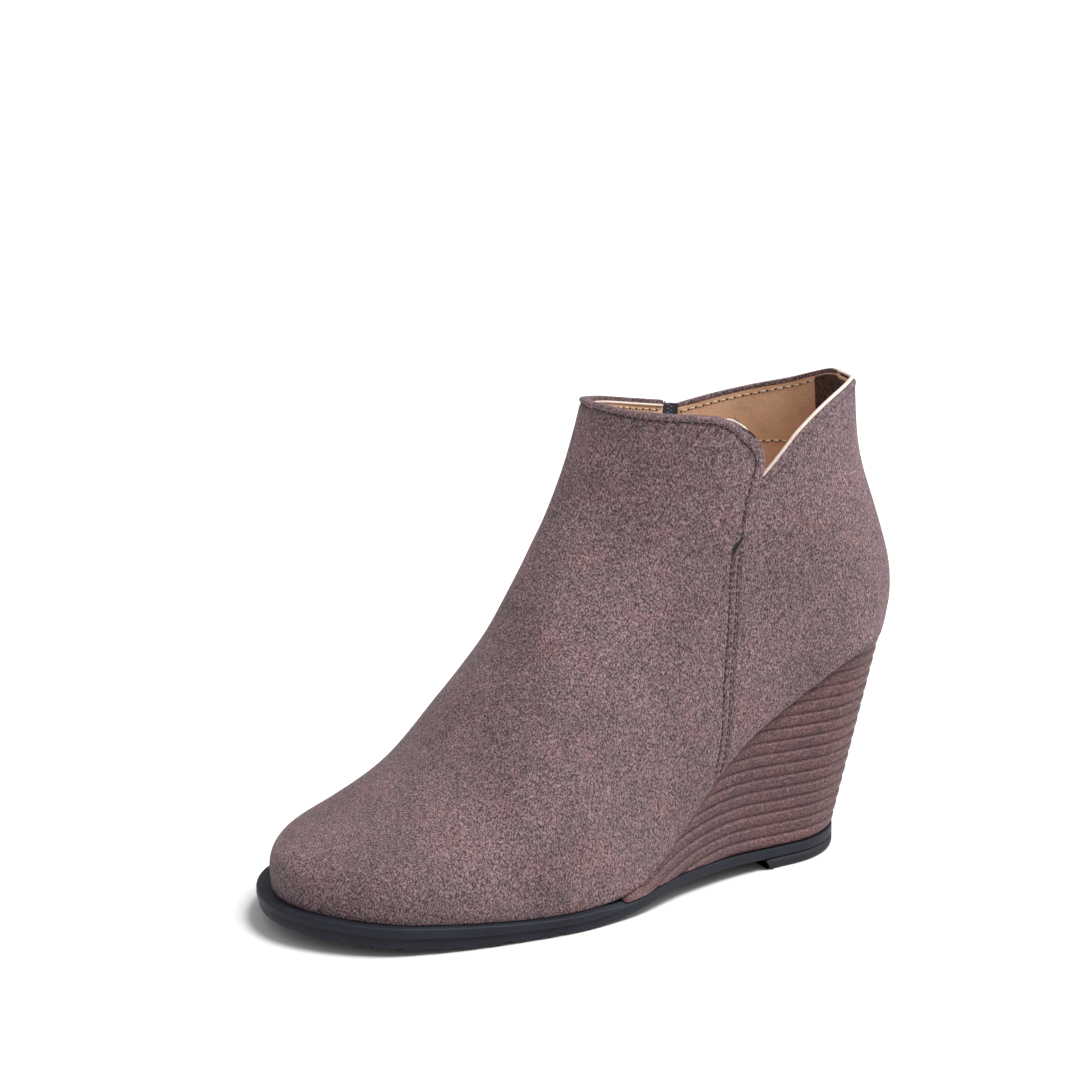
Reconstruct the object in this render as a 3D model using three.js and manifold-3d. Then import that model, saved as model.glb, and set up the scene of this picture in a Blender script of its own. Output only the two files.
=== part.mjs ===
// Ankle boot on a full wedge, for the left foot. Millimetres, +Z up, +X towards the toe, +Y towards the outer side.
// The origin is on the floor under the middle of the heel pad.
import * as THREE from "three";
import Module from "manifold-3d";
import { mergeVertices } from "three/addons/utils/BufferGeometryUtils.js";

const wasm = await Module();
wasm.setup();

// Driving sizes of the last and the upper
const LENGTH = 238; // back of the heel to the tip of the toe
const BALL_WIDTH = 87; // feather edge to feather edge across the ball
const HEEL_HEIGHT = 72; // floor to the feather edge under the middle of the heel
const FOREFOOT_HEIGHT = 6.5; // floor to the feather edge under the ball
const TOE_SPRING = 5.5; // lift of the toe's tip above the ball
const SHAFT_HEIGHT = 93; // feather edge to the collar, at the back
const WALL = 2; // suede, foam and lining together
const SEAM_STEP = 0.8; // the front panel lies on the quarter by this much
const GAP = 0.3; // between pieces that touch

// Sole
const RIM = 2.2; // the forefoot sole stands out past the upper
const TIER = 0.8; // the rim's upper band stands out past the lower one
const TREAD_CHAMFER = 0.9;
const STRIP = 3.6; // thickness of the sole under the wedge
const PAD = 3.6; // the heel pad is lower than the strip by this much
const PAD_LENGTH = 40;
const HEEL_SETBACK = 23; // the ground line starts this far in front of the upper's back
const INSOLE = 2.2;
const INSOLE_GAP = 1; // between the insole and the upper's wall

// Wedge covering
const LAYER = 4.2; // height of one stacked layer
const GROOVE = 0.5; // depth of the line between two layers
const WEDGE_LAYERS = 16;
const LAYER_DROP = 10.4; // the layers bend down by this at the front of the arch
const LAYER_BEND = 0.3; // share of the length where they start to bend
const WEDGE_TIP = 1; // thickness at its front end
const OVERHANG = 1.8; // the upper stands out past the top of the wedge by this at most

// Zip
const ZIP_SLOT = 6.4; // gap between the panels' edges
const TAPE = 1; // thickness of the tape
const CHAIN_WIDTH = 4;
const CHAIN_RISE = 0.7; // the closed coil stands out past the tape
const SLIDER_LENGTH = 9.5;
const SLIDER_WIDTH = 5.6;
const SLIDER_THICK = 1.5;
const BRIDGE_WIDTH = 1.6; // arch on the slider that holds the pull
const BRIDGE_RISE = 2.1; // clear height under the arch
const BRIDGE_BAR = 0.9; // thickness of the arch
const LOOP_WIDTH = 7.4;
const LOOP_LENGTH = 15;
const LOOP_BAR = 2; // width of the loop's two sides
const PULL_LENGTH = 28.5; // loop and paddle together
const PADDLE_WIDTH = 5.2;
const PULL_THICK = 1.2;

// Height of the feather edge: share of the heel's rise and of the toe spring, along the length
const BOTTOM = [
  { at: 0.0, heel: 1.062, spring: 0 },
  { at: 0.06, heel: 1.047, spring: 0 },
  { at: 0.12, heel: 0.997, spring: 0 },
  { at: 0.18, heel: 0.889, spring: 0 },
  { at: 0.24, heel: 0.774, spring: 0 },
  { at: 0.3, heel: 0.65, spring: 0 },
  { at: 0.36, heel: 0.468, spring: 0 },
  { at: 0.42, heel: 0.262, spring: 0 },
  { at: 0.48, heel: 0.098, spring: 0 },
  { at: 0.54, heel: 0.016, spring: 0 },
  { at: 0.6, heel: 0, spring: 0 },
  { at: 0.68, heel: 0, spring: 0.03 },
  { at: 0.78, heel: 0, spring: 0.3 },
  { at: 0.88, heel: 0, spring: 0.62 },
  { at: 1.0, heel: 0, spring: 1 },
];

// Feather edge in plan: half widths as shares of the ball's width. The round ends are added by formula.
const FEATHER = [
  { at: 0.0, lat: 0.327, med: 0.321 },
  { at: 0.15, lat: 0.328, med: 0.318 },
  { at: 0.28, lat: 0.335, med: 0.3 },
  { at: 0.4, lat: 0.375, med: 0.29 },
  { at: 0.52, lat: 0.475, med: 0.36 },
  { at: 0.61, lat: 0.518, med: 0.44 },
  { at: 0.72, lat: 0.508, med: 0.49 },
  { at: 0.82, lat: 0.462, med: 0.485 },
  { at: 0.92, lat: 0.385, med: 0.44 },
  { at: 1.0, lat: 0.315, med: 0.37 },
];
const FEATHER_BACK = 0.021; // share of the length
const FEATHER_TIP = 0.986;
const TILT_RISE = 0.4; // the back line evens out the tilt of its foot by this share of the shaft's height
const HEEL_ROUND = 0.115; // radius shares of the length
const TOE_ROUND = 0.13;

// Sole in plan, half widths as shares of the ball's width
const SOLE = [
  { at: 0.09, lat: 0.295, med: 0.295 },
  { at: 0.2, lat: 0.305, med: 0.295 },
  { at: 0.3, lat: 0.33, med: 0.29 },
  { at: 0.4, lat: 0.395, med: 0.305 },
  { at: 0.52, lat: 0.51, med: 0.385 },
  { at: 0.61, lat: 0.555, med: 0.475 },
  { at: 0.72, lat: 0.542, med: 0.52 },
  { at: 0.82, lat: 0.5, med: 0.518 },
  { at: 0.92, lat: 0.42, med: 0.475 },
  { at: 1.01, lat: 0.345, med: 0.4 },
];
// Underside: share of the heel pad's height under the strip, and of the toe spring
const GROUND = [
  { at: 0.09, arch: 1, spring: 0 },
  { at: 0.26, arch: 1, spring: 0 },
  { at: 0.36, arch: 1.25, spring: 0 },
  { at: 0.46, arch: 1.1, spring: 0 },
  { at: 0.54, arch: 0.35, spring: 0 },
  { at: 0.6, arch: 0, spring: 0 },
  { at: 0.7, arch: 0, spring: 0 },
  { at: 0.78, arch: 0, spring: 0.03 },
  { at: 0.88, arch: 0, spring: 0.3 },
  { at: 1.01, arch: 0, spring: 0.95 },
];
// Share of the greatest overhang along the wedge's top
const EAVES = [
  { at: 0.02, out: 0.2 },
  { at: 0.1, out: 0.45 },
  { at: 0.22, out: 1 },
  { at: 0.33, out: 0.9 },
  { at: 0.4, out: 0.4 },
  { at: 0.6, out: 0.25 },
];
// The strip thickens to the full forefoot sole between these shares of the length
const RAMP_START = 0.5;
const RAMP_END = 0.6;
const TIER_SHARE = 0.55; // height of the lower tier as a share of the forefoot sole

// Grooves across the forefoot's underside
const TREAD_GROOVES = 9;
const TREAD_FROM = 0.63;
const TREAD_TO = 0.95;
const TREAD_GROOVE = 1.8;
const TREAD_DEPTH = 1.2;
const TREAD_TURN = 8; // degrees

// Ribs of the last, from the toe, over the instep and round to the collar. Each is a flat section seen edge-on from
// the side: it runs from the front line (ax along, up above the bottom) to the bottom or, past the heel, to the back
// line (bx along, rise above the heel seat). Widths are shares of the ball's width, heights of the shaft's.
const RIBS = [
  { ax: 0.992, up: 0.07, bx: 0.986, rise: 0, lat: 0, med: 0, peak: 0.6, top: 2, low: 2.2 },
  { ax: 0.982, up: 0.148, bx: 0.977, rise: 0, lat: 0.12, med: 0.13, peak: 0.64, top: 2.1, low: 2.4 },
  { ax: 0.954, up: 0.196, bx: 0.951, rise: 0, lat: 0.22, med: 0.24, peak: 0.68, top: 2.1, low: 2.5 },
  { ax: 0.911, up: 0.242, bx: 0.908, rise: 0, lat: 0.33, med: 0.35, peak: 0.7, top: 2.1, low: 2.6 },
  { ax: 0.84, up: 0.333, bx: 0.84, rise: 0, lat: 0.43, med: 0.43, peak: 0.72, top: 2, low: 2.6 },
  { ax: 0.76, up: 0.487, bx: 0.75, rise: 0, lat: 0.5, med: 0.48, peak: 0.74, top: 1.95, low: 2.6 },
  { ax: 0.693, up: 0.729, bx: 0.655, rise: 0, lat: 0.525, med: 0.47, peak: 0.75, top: 1.9, low: 2.6 },
  { ax: 0.637, up: 0.922, bx: 0.56, rise: 0, lat: 0.505, med: 0.44, peak: 0.75, top: 1.9, low: 2.5 },
  { ax: 0.611, up: 1.054, bx: 0.466, rise: 0, lat: 0.455, med: 0.4, peak: 0.75, top: 1.9, low: 2.4 },
  { ax: 0.59, up: 1.15, bx: 0.37, rise: 0, lat: 0.41, med: 0.37, peak: 0.74, top: 1.95, low: 2.3 },
  { ax: 0.5735, up: 1.23, bx: 0.25, rise: 0, lat: 0.38, med: 0.36, peak: 0.72, top: 2, low: 2.3 },
  { ax: 0.561, up: 1.286, bx: 0.13, rise: 0, lat: 0.365, med: 0.35, peak: 0.68, top: 2.05, low: 2.3 },
  { ax: 0.5505, up: 1.337, bx: 0.022, rise: 0, lat: 0.357, med: 0.345, peak: 0.62, top: 2.1, low: 2.3 },
  { ax: 0.54, up: 1.387, bx: 0.003, rise: 0.103, lat: 0.353, med: 0.343, peak: 0.57, top: 2.1, low: 2.3 },
  { ax: 0.5295, up: 1.436, bx: 0.004, rise: 0.27, lat: 0.35, med: 0.342, peak: 0.54, top: 2.1, low: 2.25 },
  { ax: 0.519, up: 1.482, bx: 0.027, rise: 0.478, lat: 0.35, med: 0.342, peak: 0.52, top: 2.1, low: 2.2 },
  { ax: 0.5085, up: 1.526, bx: 0.058, rise: 0.708, lat: 0.352, med: 0.345, peak: 0.5, top: 2.1, low: 2.2 },
  { ax: 0.498, up: 1.575, bx: 0.067, rise: 0.916, lat: 0.356, med: 0.35, peak: 0.48, top: 2.1, low: 2.2 },
  { ax: 0.4887, up: 1.64, bx: 0.069, rise: 1.125, lat: 0.36, med: 0.355, peak: 0.48, top: 2.1, low: 2.2 },
  { ax: 0.481, up: 1.723, bx: 0.07, rise: 1.365, lat: 0.362, med: 0.358, peak: 0.48, top: 2.1, low: 2.2 },
];
const HEEL_RIB = RIBS.findIndex((r) => r.rise > 0) - 1; // its lower end is the back of the feather edge

// Lines drawn on the upper, seen from the side: shares of the length, and of the shaft's height above the heel seat.
// The quarter's top lines end at the middle of the back.
const SEAM_LINE = [
  { along: 0.36, rise: -0.6 },
  { along: 0.354, rise: -0.38 },
  { along: 0.344, rise: -0.2 },
  { along: 0.341, rise: 0 },
  { along: 0.333, rise: 0.14 },
  { along: 0.326, rise: 0.28 },
  { along: 0.321, rise: 0.43 },
  { along: 0.31, rise: 0.56 },
  { along: 0.2955, rise: 0.68 },
  { along: 0.2885, rise: 0.745 },
  { along: 0.2832, rise: 0.79 },
  { along: 0.2866, rise: 0.845 },
  { along: 0.2965, rise: 0.891 },
  { along: 0.3105, rise: 0.931 },
  { along: 0.3355, rise: 0.967 },
];
const NOTCH_RISE = 0.745; // bottom of the notch on the outer side
const CORNER_RISE = 0.891; // middle of the front panel's round corner
const FRONT_TOP_OUTER = [
  { along: 0.287, rise: 0.846 },
  { along: 0.2965, rise: 0.891 },
  { along: 0.3105, rise: 0.931 },
  { along: 0.3355, rise: 0.967 },
  { along: 0.357, rise: 0.989 },
  { along: 0.38, rise: 0.999 },
  { along: 0.411, rise: 1.006 },
  { along: 0.456, rise: 1.015 },
  { along: 0.483, rise: 1.021 },
  { along: 0.54, rise: 1.026 },
];
const FRONT_TOP_INNER = [
  { along: 0.27, rise: 0.878 },
  { along: 0.306, rise: 0.894 },
  { along: 0.364, rise: 0.925 },
  { along: 0.412, rise: 0.956 },
  { along: 0.455, rise: 0.985 },
  { along: 0.49, rise: 1.018 },
  { along: 0.54, rise: 1.026 },
];
const ZIP_LINE = [
{ along: 0.34, rise: -0.6 },
  { along: 0.33, rise: -0.3 },
  { along: 0.32, rise: 0 },
  { along: 0.31, rise: 0.3 },
  { along: 0.298, rise: 0.6 },
  { along: 0.288, rise: 0.85 },
  { along: 0.28, rise: 1.05 },
];
const ZIP_FOOT_RISE = -0.05; // bottom of the zip's opening
const ZIP_TOP_RISE = 0.885; // top of the zip
const QUARTER_TOP_OUTER = [
  { along: 0.2885, rise: 0.745 },
  { along: 0.2745, rise: 0.776 },
  { along: 0.259, rise: 0.813 },
  { along: 0.242, rise: 0.854 },
  { along: 0.224, rise: 0.895 },
  { along: 0.185, rise: 0.956 },
  { along: 0.145, rise: 0.997 },
  { along: 0.1, rise: 1.018 },
];
const QUARTER_TOP_INNER = [
{ along: 0.28, rise: 0.868 },
  { along: 0.226, rise: 0.888 },
  { along: 0.165, rise: 0.912 },
  { along: 0.113, rise: 0.938 },
  { along: 0.085, rise: 0.968 },
];

// Mesh counts
const TOE_ROWS = 16; // toe to the foot of the seams
const FRONT_ROWS = 20; // foot of the seams to the collar
const FRONT_COLUMNS = 28;
const NOTCH_ROW = 13; // of FRONT_ROWS, at the bottom of the notch
const SLOT_ROW = 4; // at the bottom of the zip's opening
const QUARTER_COLUMNS = 13; // each side of the heel
const ZIP_ROWS = 16;
const SOLE_STATIONS = 44;
const WEDGE_STATIONS = 22;

const OUTER = 1; // side of +Y
const INNER = -1;
const lerp = (a, b, k) => a + (b - a) * k;
const clamp = (v, lo, hi) => Math.min(hi, Math.max(lo, v));
const ease = (v) => v * v * (3 - 2 * v);

// Cubic curve through a table's rows, column y against column x.
function through(rows, x, y) {
  const xs = rows.map((r, i) => (x === "row" ? i : r[x]));
  const ys = rows.map((r) => r[y]);
  const n = xs.length;
  const chord = (i) => (ys[i + 1] - ys[i]) / (xs[i + 1] - xs[i]);
  const slopes = xs.map((_, i) => {
    if (i === 0) return chord(0);
    if (i === n - 1) return chord(n - 2);
    const before = xs[i] - xs[i - 1];
    const after = xs[i + 1] - xs[i];
    return (chord(i - 1) * after + chord(i) * before) / (before + after);
  });
  const backwards = xs[n - 1] < xs[0];
  return (v) => {
    let i = 0;
    while (i < n - 2 && (backwards ? v < xs[i + 1] : v > xs[i + 1])) i++;
    const h = xs[i + 1] - xs[i];
    const k = clamp((v - xs[i]) / h, 0, 1);
    const k2 = k * k;
    const k3 = k2 * k;
    return (
      ys[i] * (2 * k3 - 3 * k2 + 1) +
      slopes[i] * h * (k3 - 2 * k2 + k) +
      ys[i + 1] * (3 * k2 - 2 * k3) +
      slopes[i + 1] * h * (k3 - k2)
    );
  };
}

// The value between lo and hi at which test changes sign.
function solve(lo, hi, test) {
  const low = test(lo) > 0;
  for (let i = 0; i < 40; i++) {
    const mid = (lo + hi) / 2;
    if (test(mid) > 0 === low) lo = mid;
    else hi = mid;
  }
  return (lo + hi) / 2;
}

// Last
const bottomHeel = through(BOTTOM, "at", "heel");
const bottomSpring = through(BOTTOM, "at", "spring");
const bottomZ = (x) =>
  FOREFOOT_HEIGHT + bottomHeel(x / LENGTH) * (HEEL_HEIGHT - FOREFOOT_HEIGHT) + bottomSpring(x / LENGTH) * TOE_SPRING;
const seatZ = (rise) => HEEL_HEIGHT + rise * SHAFT_HEIGHT;
const featherLat = through(FEATHER, "at", "lat");
const featherMed = through(FEATHER, "at", "med");

// Half width of the feather edge at x, on one side, with its round heel and toe.
function featherHalf(x, side) {
  const at = x / LENGTH;
  const half = (side === OUTER ? featherLat(at) : featherMed(at)) * BALL_WIDTH;
  const heel = clamp((at - FEATHER_BACK) / HEEL_ROUND, 0, 1);
  const toe = clamp((FEATHER_TIP - at) / TOE_ROUND, 0, 1);
  return half * Math.sqrt(1 - (1 - heel) ** 2) * Math.sqrt(1 - (1 - toe) ** 2);
}

const rib = Object.fromEntries(
  ["ax", "up", "bx", "rise", "lat", "med", "peak", "top", "low"].map((c) => [c, through(RIBS, "row", c)]),
);
const frontLine = (t) => [rib.ax(t) * LENGTH, bottomZ(rib.ax(t) * LENGTH) + rib.up(t) * SHAFT_HEIGHT];
function backLine(t) {
  const x = rib.bx(Math.min(t, RIBS.length - 1)) * LENGTH;
  if (t <= HEEL_RIB) return [x, bottomZ(x)];
  const tilt = bottomZ(RIBS[HEEL_RIB].bx * LENGTH) - HEEL_HEIGHT;
  return [x, seatZ(rib.rise(t)) + tilt * clamp(1 - rib.rise(t) / TILT_RISE, 0, 1)];
}

// Share of the section's largest half width that it still has at its lower end.
function featherShare(t, side) {
  if (t >= HEEL_RIB) return 0;
  const most = ribHalf(t, side);
  return most > 0 ? clamp(featherHalf(backLine(t)[0], side) / most, 0, 1) : 1;
}
function ribHalf(t, side) {
  const own = (side === OUTER ? rib.lat(t) : rib.med(t)) * BALL_WIDTH;
  return t < HEEL_RIB ? Math.max(own, featherHalf(backLine(t)[0], side) * 1.02) : own;
}

// Half width of rib t at the share s of the way from its front end to its lower end.
function halfAt(t, s, side) {
  const peak = rib.peak(t);
  const most = ribHalf(t, side);
  if (s < peak) {
    const n = rib.top(t);
    return most * (1 - ((peak - s) / peak) ** n) ** (1 / n);
  }
  const n = rib.low(t);
  const lost = 1 - featherShare(t, side) ** n;
  return most * Math.max(0, 1 - lost * ((s - peak) / (1 - peak)) ** n) ** (1 / n);
}

// The share s at an angle round the rib, 0 on the front line and pi at the lower end.
function shareAt(t, angle, side) {
  const open = featherShare(t, side);
  return (1 - open) * (1 - Math.cos(angle)) / 2 + open * (1 - Math.cos(angle / 2));
}

// Point of the last on rib t. A positive angle is on the outer side.
function lastPoint(t, angle) {
  const side = angle >= 0 ? OUTER : INNER;
  const s = clamp(shareAt(t, Math.abs(angle), side), 0, 1);
  const [ax, az] = frontLine(t);
  const [bx, bz] = backLine(t);
  return new THREE.Vector3(lerp(ax, bx, s), side * halfAt(t, s, side), lerp(az, bz, s));
}

// Point of the last over a place in the side view.
function lastOver(x, z, side) {
  const off = (t) => {
    const [ax, az] = frontLine(t);
    const [bx, bz] = backLine(t);
    return (bx - ax) * (z - az) - (bz - az) * (x - ax);
  };
  const t = solve(0, RIBS.length - 1, off);
  const [ax, az] = frontLine(t);
  const [bx, bz] = backLine(t);
  const s = clamp(((x - ax) * (bx - ax) + (z - az) * (bz - az)) / ((bx - ax) ** 2 + (bz - az) ** 2), 0, 1);
  return new THREE.Vector3(x, side * halfAt(t, s, side), z);
}

// A line drawn on the upper, as along(rise) in millimetres.
function upright(rows) {
  const along = through(rows, "rise", "along");
  return (z) => along((z - HEEL_HEIGHT) / SHAFT_HEIGHT) * LENGTH;
}
function level(rows) {
  const rise = through(rows, "along", "rise");
  return (x) => seatZ(rise(x / LENGTH));
}
const seamX = upright(SEAM_LINE);
const zipX = upright(ZIP_LINE);
const frontTop = { [OUTER]: level(FRONT_TOP_OUTER), [INNER]: level(FRONT_TOP_INNER) };

// Angle on rib t at which a drawn line crosses it.
function angleOn(t, side, lineX) {
  const off = (angle) => {
    const p = lastPoint(t, side * angle);
    return p.x - lineX(p.z);
  };
  return solve(1e-4, Math.PI, off);
}
const slotHalf = (z) => (ZIP_SLOT / 2) * clamp((z - seatZ(ZIP_FOOT_RISE)) / (ZIP_SLOT / 2), 0, 1);
const zipFrontX = (z) => zipX(z) + slotHalf(z);
const zipBackX = (z) => zipX(z) - slotHalf(z);

// Rib whose point on a drawn line has the height z.
const ribOn = (side, lineX, z) =>
  solve(seamRib, RIBS.length - 1, (t) => lastPoint(t, side * angleOn(t, side, lineX)).z - z);
const seamRib = solve(4, HEEL_RIB, (t) => backLine(t)[0] - SEAM_LINE[0].along * LENGTH);

const zipPoint = (t, lineX) => lastPoint(t, t <= seamRib ? -Math.PI : -angleOn(t, INNER, lineX));

// Ribs of the rows on the two side edges of the front panel, at even heights between the knots.
const seamFoot = bottomZ(backLine(seamRib)[0]);
const outerRib = (row) => {
  if (row === 0) return seamRib;
  const z =
    row <= NOTCH_ROW
      ? lerp(seamFoot, seatZ(NOTCH_RISE), row / NOTCH_ROW)
      : lerp(seatZ(NOTCH_RISE), seatZ(CORNER_RISE), (row - NOTCH_ROW) / (FRONT_ROWS - NOTCH_ROW));
  return ribOn(OUTER, seamX, z);
};
const outerTop = outerRib(FRONT_ROWS);
const slotRib = ribOn(INNER, zipX, seatZ(ZIP_FOOT_RISE));
function topOn(lineX, topZ) {
  return solve(slotRib, RIBS.length - 1, (t) => {
    const p = lastPoint(t, -angleOn(t, INNER, lineX));
    return p.z - topZ(p.x);
  });
}
const innerTop = topOn(zipFrontX, frontTop[INNER]);
function slotRow(row, rows, lineX, topRib) {
  if (row === 0) return seamRib;
  const foot = seatZ(ZIP_FOOT_RISE);
  if (row <= SLOT_ROW) return ribOn(INNER, zipX, lerp(seamFoot, foot, row / SLOT_ROW));
  const open = foot + ZIP_SLOT / 2;
  const top = zipPoint(topRib, lineX).z;
  return ribOn(INNER, lineX, lerp(open, top, (row - SLOT_ROW - 1) / (rows - SLOT_ROW - 1)));
}
const innerRib = (row) => slotRow(row, FRONT_ROWS, zipFrontX, innerTop);

// Front panel: a grid of rows from the toe to the collar, and of columns from the outer side to the inner one.
function frontPanel() {
  const angleAt = (t, share) =>
    t <= seamRib
      ? lerp(Math.PI, -Math.PI, share)
      : lerp(angleOn(t, OUTER, seamX), -angleOn(t, INNER, zipFrontX), share);
  const rows = [];
  for (let j = 0; j <= TOE_ROWS; j++) {
    const t = (seamRib * j) / TOE_ROWS;
    rows.push(columnShares().map((share) => lastPoint(t, angleAt(t, share))));
  }
  const tops = columnShares().map((share) => {
    if (share === 0) return outerTop;
    if (share === 1) return innerTop;
    return solve(seamRib, RIBS.length - 1, (t) => {
      const angle = angleAt(t, share);
      const p = lastPoint(t, angle);
      return p.z - frontTop[angle >= 0 ? OUTER : INNER](p.x);
    });
  });
  for (let j = 1; j <= FRONT_ROWS; j++) {
    rows.push(
      columnShares().map((share, i) => {
        const plain = lerp(outerRib(j), innerRib(j), share);
        const reach = tops[i] - lerp(outerTop, innerTop, share);
        const t = plain + (reach * j) / FRONT_ROWS;
        return lastPoint(t, angleAt(t, share));
      }),
    );
  }
  return rows;
}
function columnShares() {
  return Array.from({ length: FRONT_COLUMNS + 1 }, (_, i) => i / FRONT_COLUMNS);
}

// Half of the quarter, from a side seam to the middle of the back, as rows from the feather edge to the collar.
function quarterHalf(side, edge, topRows) {
  const rowCount = edge.length - 1;
  const foot = edge[0];
  const backRib = solve(HEEL_RIB, RIBS.length - 1, (t) => backLine(t)[1] - seatZ(1));
  const heel = backLine(HEEL_RIB);
  const topEnd = { along: backLine(backRib)[0] / LENGTH, rise: 1 };
  const tops = [...topRows, topEnd];
  const topAlong = through(tops, "row", "along");
  const topRise = through(tops, "row", "rise");
  const backAt = (v) => {
    if (v === 0) return HEEL_RIB;
    const z = lerp(heel[1], seatZ(1), v);
    return v === 1 ? backRib : solve(HEEL_RIB, backRib, (t) => backLine(t)[1] - z);
  };
  const rows = [];
  for (let j = 0; j <= rowCount; j++) {
    const v = j / rowCount;
    const row = [];
    for (let i = 0; i <= QUARTER_COLUMNS; i++) {
      const c = Math.sin((Math.PI / 2) * (i / QUARTER_COLUMNS));
      if (i === 0) {
        row.push(edge[j].clone());
        continue;
      }
      if (i === QUARTER_COLUMNS) {
        const [x, z] = backLine(backAt(v));
        row.push(new THREE.Vector3(x, 0, z));
        continue;
      }
      const k = c * (tops.length - 1);
      const top = [topAlong(k) * LENGTH, seatZ(topRise(k))];
      if (j === 0) {
        const x = lerp(foot.x, heel[0], c);
        row.push(new THREE.Vector3(x, side * featherHalf(x, side), bottomZ(x)));
        continue;
      }
      const back = backLine(backAt(v));
      const footX = lerp(foot.x, heel[0], c);
      const flat = [footX, bottomZ(footX)];
      const left = [edge[j].x, edge[j].z];
      const end = edge[rowCount];
      const corners = [
        [foot.x, foot.z],
        heel,
        [end.x, end.z],
        backLine(backRib),
      ];
      const place = [0, 1].map(
        (a) =>
          (1 - v) * flat[a] +
          v * top[a] +
          (1 - c) * left[a] +
          c * back[a] -
          ((1 - v) * ((1 - c) * corners[0][a] + c * corners[1][a]) + v * ((1 - c) * corners[2][a] + c * corners[3][a])),
      );
      row.push(lastOver(place[0], place[1], side));
    }
    rows.push(row);
  }
  return rows;
}

// Vertex normals of an indexed mesh.
function normalsOf(points, faces) {
  const normals = points.map(() => new THREE.Vector3());
  const ab = new THREE.Vector3();
  const ac = new THREE.Vector3();
  for (const [a, b, c] of faces) {
    ab.subVectors(points[b], points[a]);
    ac.subVectors(points[c], points[a]);
    const n = ab.cross(ac);
    for (const i of [a, b, c]) normals[i].add(n);
  }
  return normals.map((n) => n.normalize());
}

// Geometry of indexed points and faces.
function geometryOf(points, faces) {
  const geometry = new THREE.BufferGeometry();
  geometry.setAttribute("position", new THREE.Float32BufferAttribute(points.flatMap((p) => [p.x, p.y, p.z]), 3));
  geometry.setIndex(faces.flat());
  return geometry;
}

const seamPoint = (j) => lastPoint(outerRib(j), j === 0 ? Math.PI : angleOn(outerRib(j), OUTER, seamX));

// The hollow upper: front panel and quarter as one skin with a step between them, an inner skin, and rims.
function makeUpper() {
  const quarterTop = topOn(zipBackX, level([...QUARTER_TOP_INNER].reverse()));
  const edges = Array.from({ length: NOTCH_ROW + 1 }, (_, j) => j);
  const outerEdge = edges.map(seamPoint);
  const innerEdge = edges.map((j) =>
    j <= SLOT_ROW
      ? zipPoint(innerRib(j), zipX)
      : zipPoint(slotRow(j, NOTCH_ROW, zipBackX, quarterTop), zipBackX),
  );
  const grids = [
    { grid: frontPanel(), lift: SEAM_STEP, flip: true },
    { grid: quarterHalf(OUTER, outerEdge, QUARTER_TOP_OUTER), lift: 0, flip: false },
    { grid: quarterHalf(INNER, innerEdge, QUARTER_TOP_INNER), lift: 0, flip: true },
  ];

  // One base point for each place on the last, and one skin point for each place and lift.
  const base = [];
  const baseIds = new Map();
  const skin = [];
  const skinIds = new Map();
  const enter = (p, lift) => {
    const place = `${p.x.toFixed(2)},${p.y.toFixed(2)},${p.z.toFixed(2)}`;
    if (!baseIds.has(place)) baseIds.set(place, base.push(p) - 1);
    const key = `${baseIds.get(place)},${lift}`;
    if (!skinIds.has(key)) skinIds.set(key, skin.push({ base: baseIds.get(place), lift }) - 1);
    return skinIds.get(key);
  };
  const faces = [];
  const addFace = (face) => {
    if (new Set(face).size === 3) faces.push(face);
  };
  for (const { grid, lift, flip } of grids) {
    const ids = grid.map((row) => row.map((p) => enter(p, lift)));
    for (let j = 0; j + 1 < ids.length; j++)
      for (let i = 0; i + 1 < ids[j].length; i++) {
        const q = [ids[j][i], ids[j][i + 1], ids[j + 1][i + 1], ids[j + 1][i]];
        if (flip) q.reverse();
        addFace([q[0], q[1], q[2]]);
        addFace([q[0], q[2], q[3]]);
      }
  }
  const normals = normalsOf(
    base,
    faces.map((f) => f.map((i) => skin[i].base)),
  );

  // The step: join edges of the two lifts that lie on the same base edge.
  const open = openEdges(faces);
  const low = new Map();
  for (const [a, b] of open) if (skin[a].lift === 0) low.set(`${skin[a].base},${skin[b].base}`, [a, b]);
  for (const [a, b] of open) {
    if (skin[a].lift === 0) continue;
    const other = low.get(`${skin[b].base},${skin[a].base}`);
    if (!other) continue;
    addFace([b, a, other[1]]);
    addFace([b, other[1], other[0]]);
  }

  // The foot stays on the sole: its points move level and take the bottom's height.
  const shifted = (i, distance) => {
    const p = base[i].clone().addScaledVector(normals[i], distance);
    if (Math.abs(base[i].z - bottomZ(base[i].x)) > 0.01) return p;
    const flat = new THREE.Vector3(normals[i].x, normals[i].y, 0).normalize();
    p.copy(base[i]).addScaledVector(flat, distance);
    p.z = bottomZ(p.x);
    return p;
  };
  const points = skin.map((s) => shifted(s.base, s.lift));
  const inside = base.map((p, i) => shifted(i, -WALL));
  const rim = openEdges(faces);
  const start = points.length;
  const twin = (i) => start + skin[i].base;
  const lining = new Set();
  const all = [...faces];
  for (const f of faces) {
    const t = f.map(twin).reverse();
    const key = [...t].sort().join();
    if (new Set(t).size < 3 || lining.has(key)) continue;
    lining.add(key);
    all.push(t);
  }
  for (const [a, b] of rim)
    for (const f of [
      [b, a, twin(a)],
      [b, twin(a), twin(b)],
    ])
      if (new Set(f).size === 3) all.push(f);
  return geometryOf([...points, ...inside], all);
}

// Edges that only one face uses, in that face's own direction.
function openEdges(faces) {
  const seen = new Map();
  for (const f of faces)
    for (let k = 0; k < 3; k++) {
      const [a, b] = [f[k], f[(k + 1) % 3]];
      if (seen.has(`${b},${a}`)) seen.delete(`${b},${a}`);
      else seen.set(`${a},${b}`, [a, b]);
    }
  return [...seen.values()];
}

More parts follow.
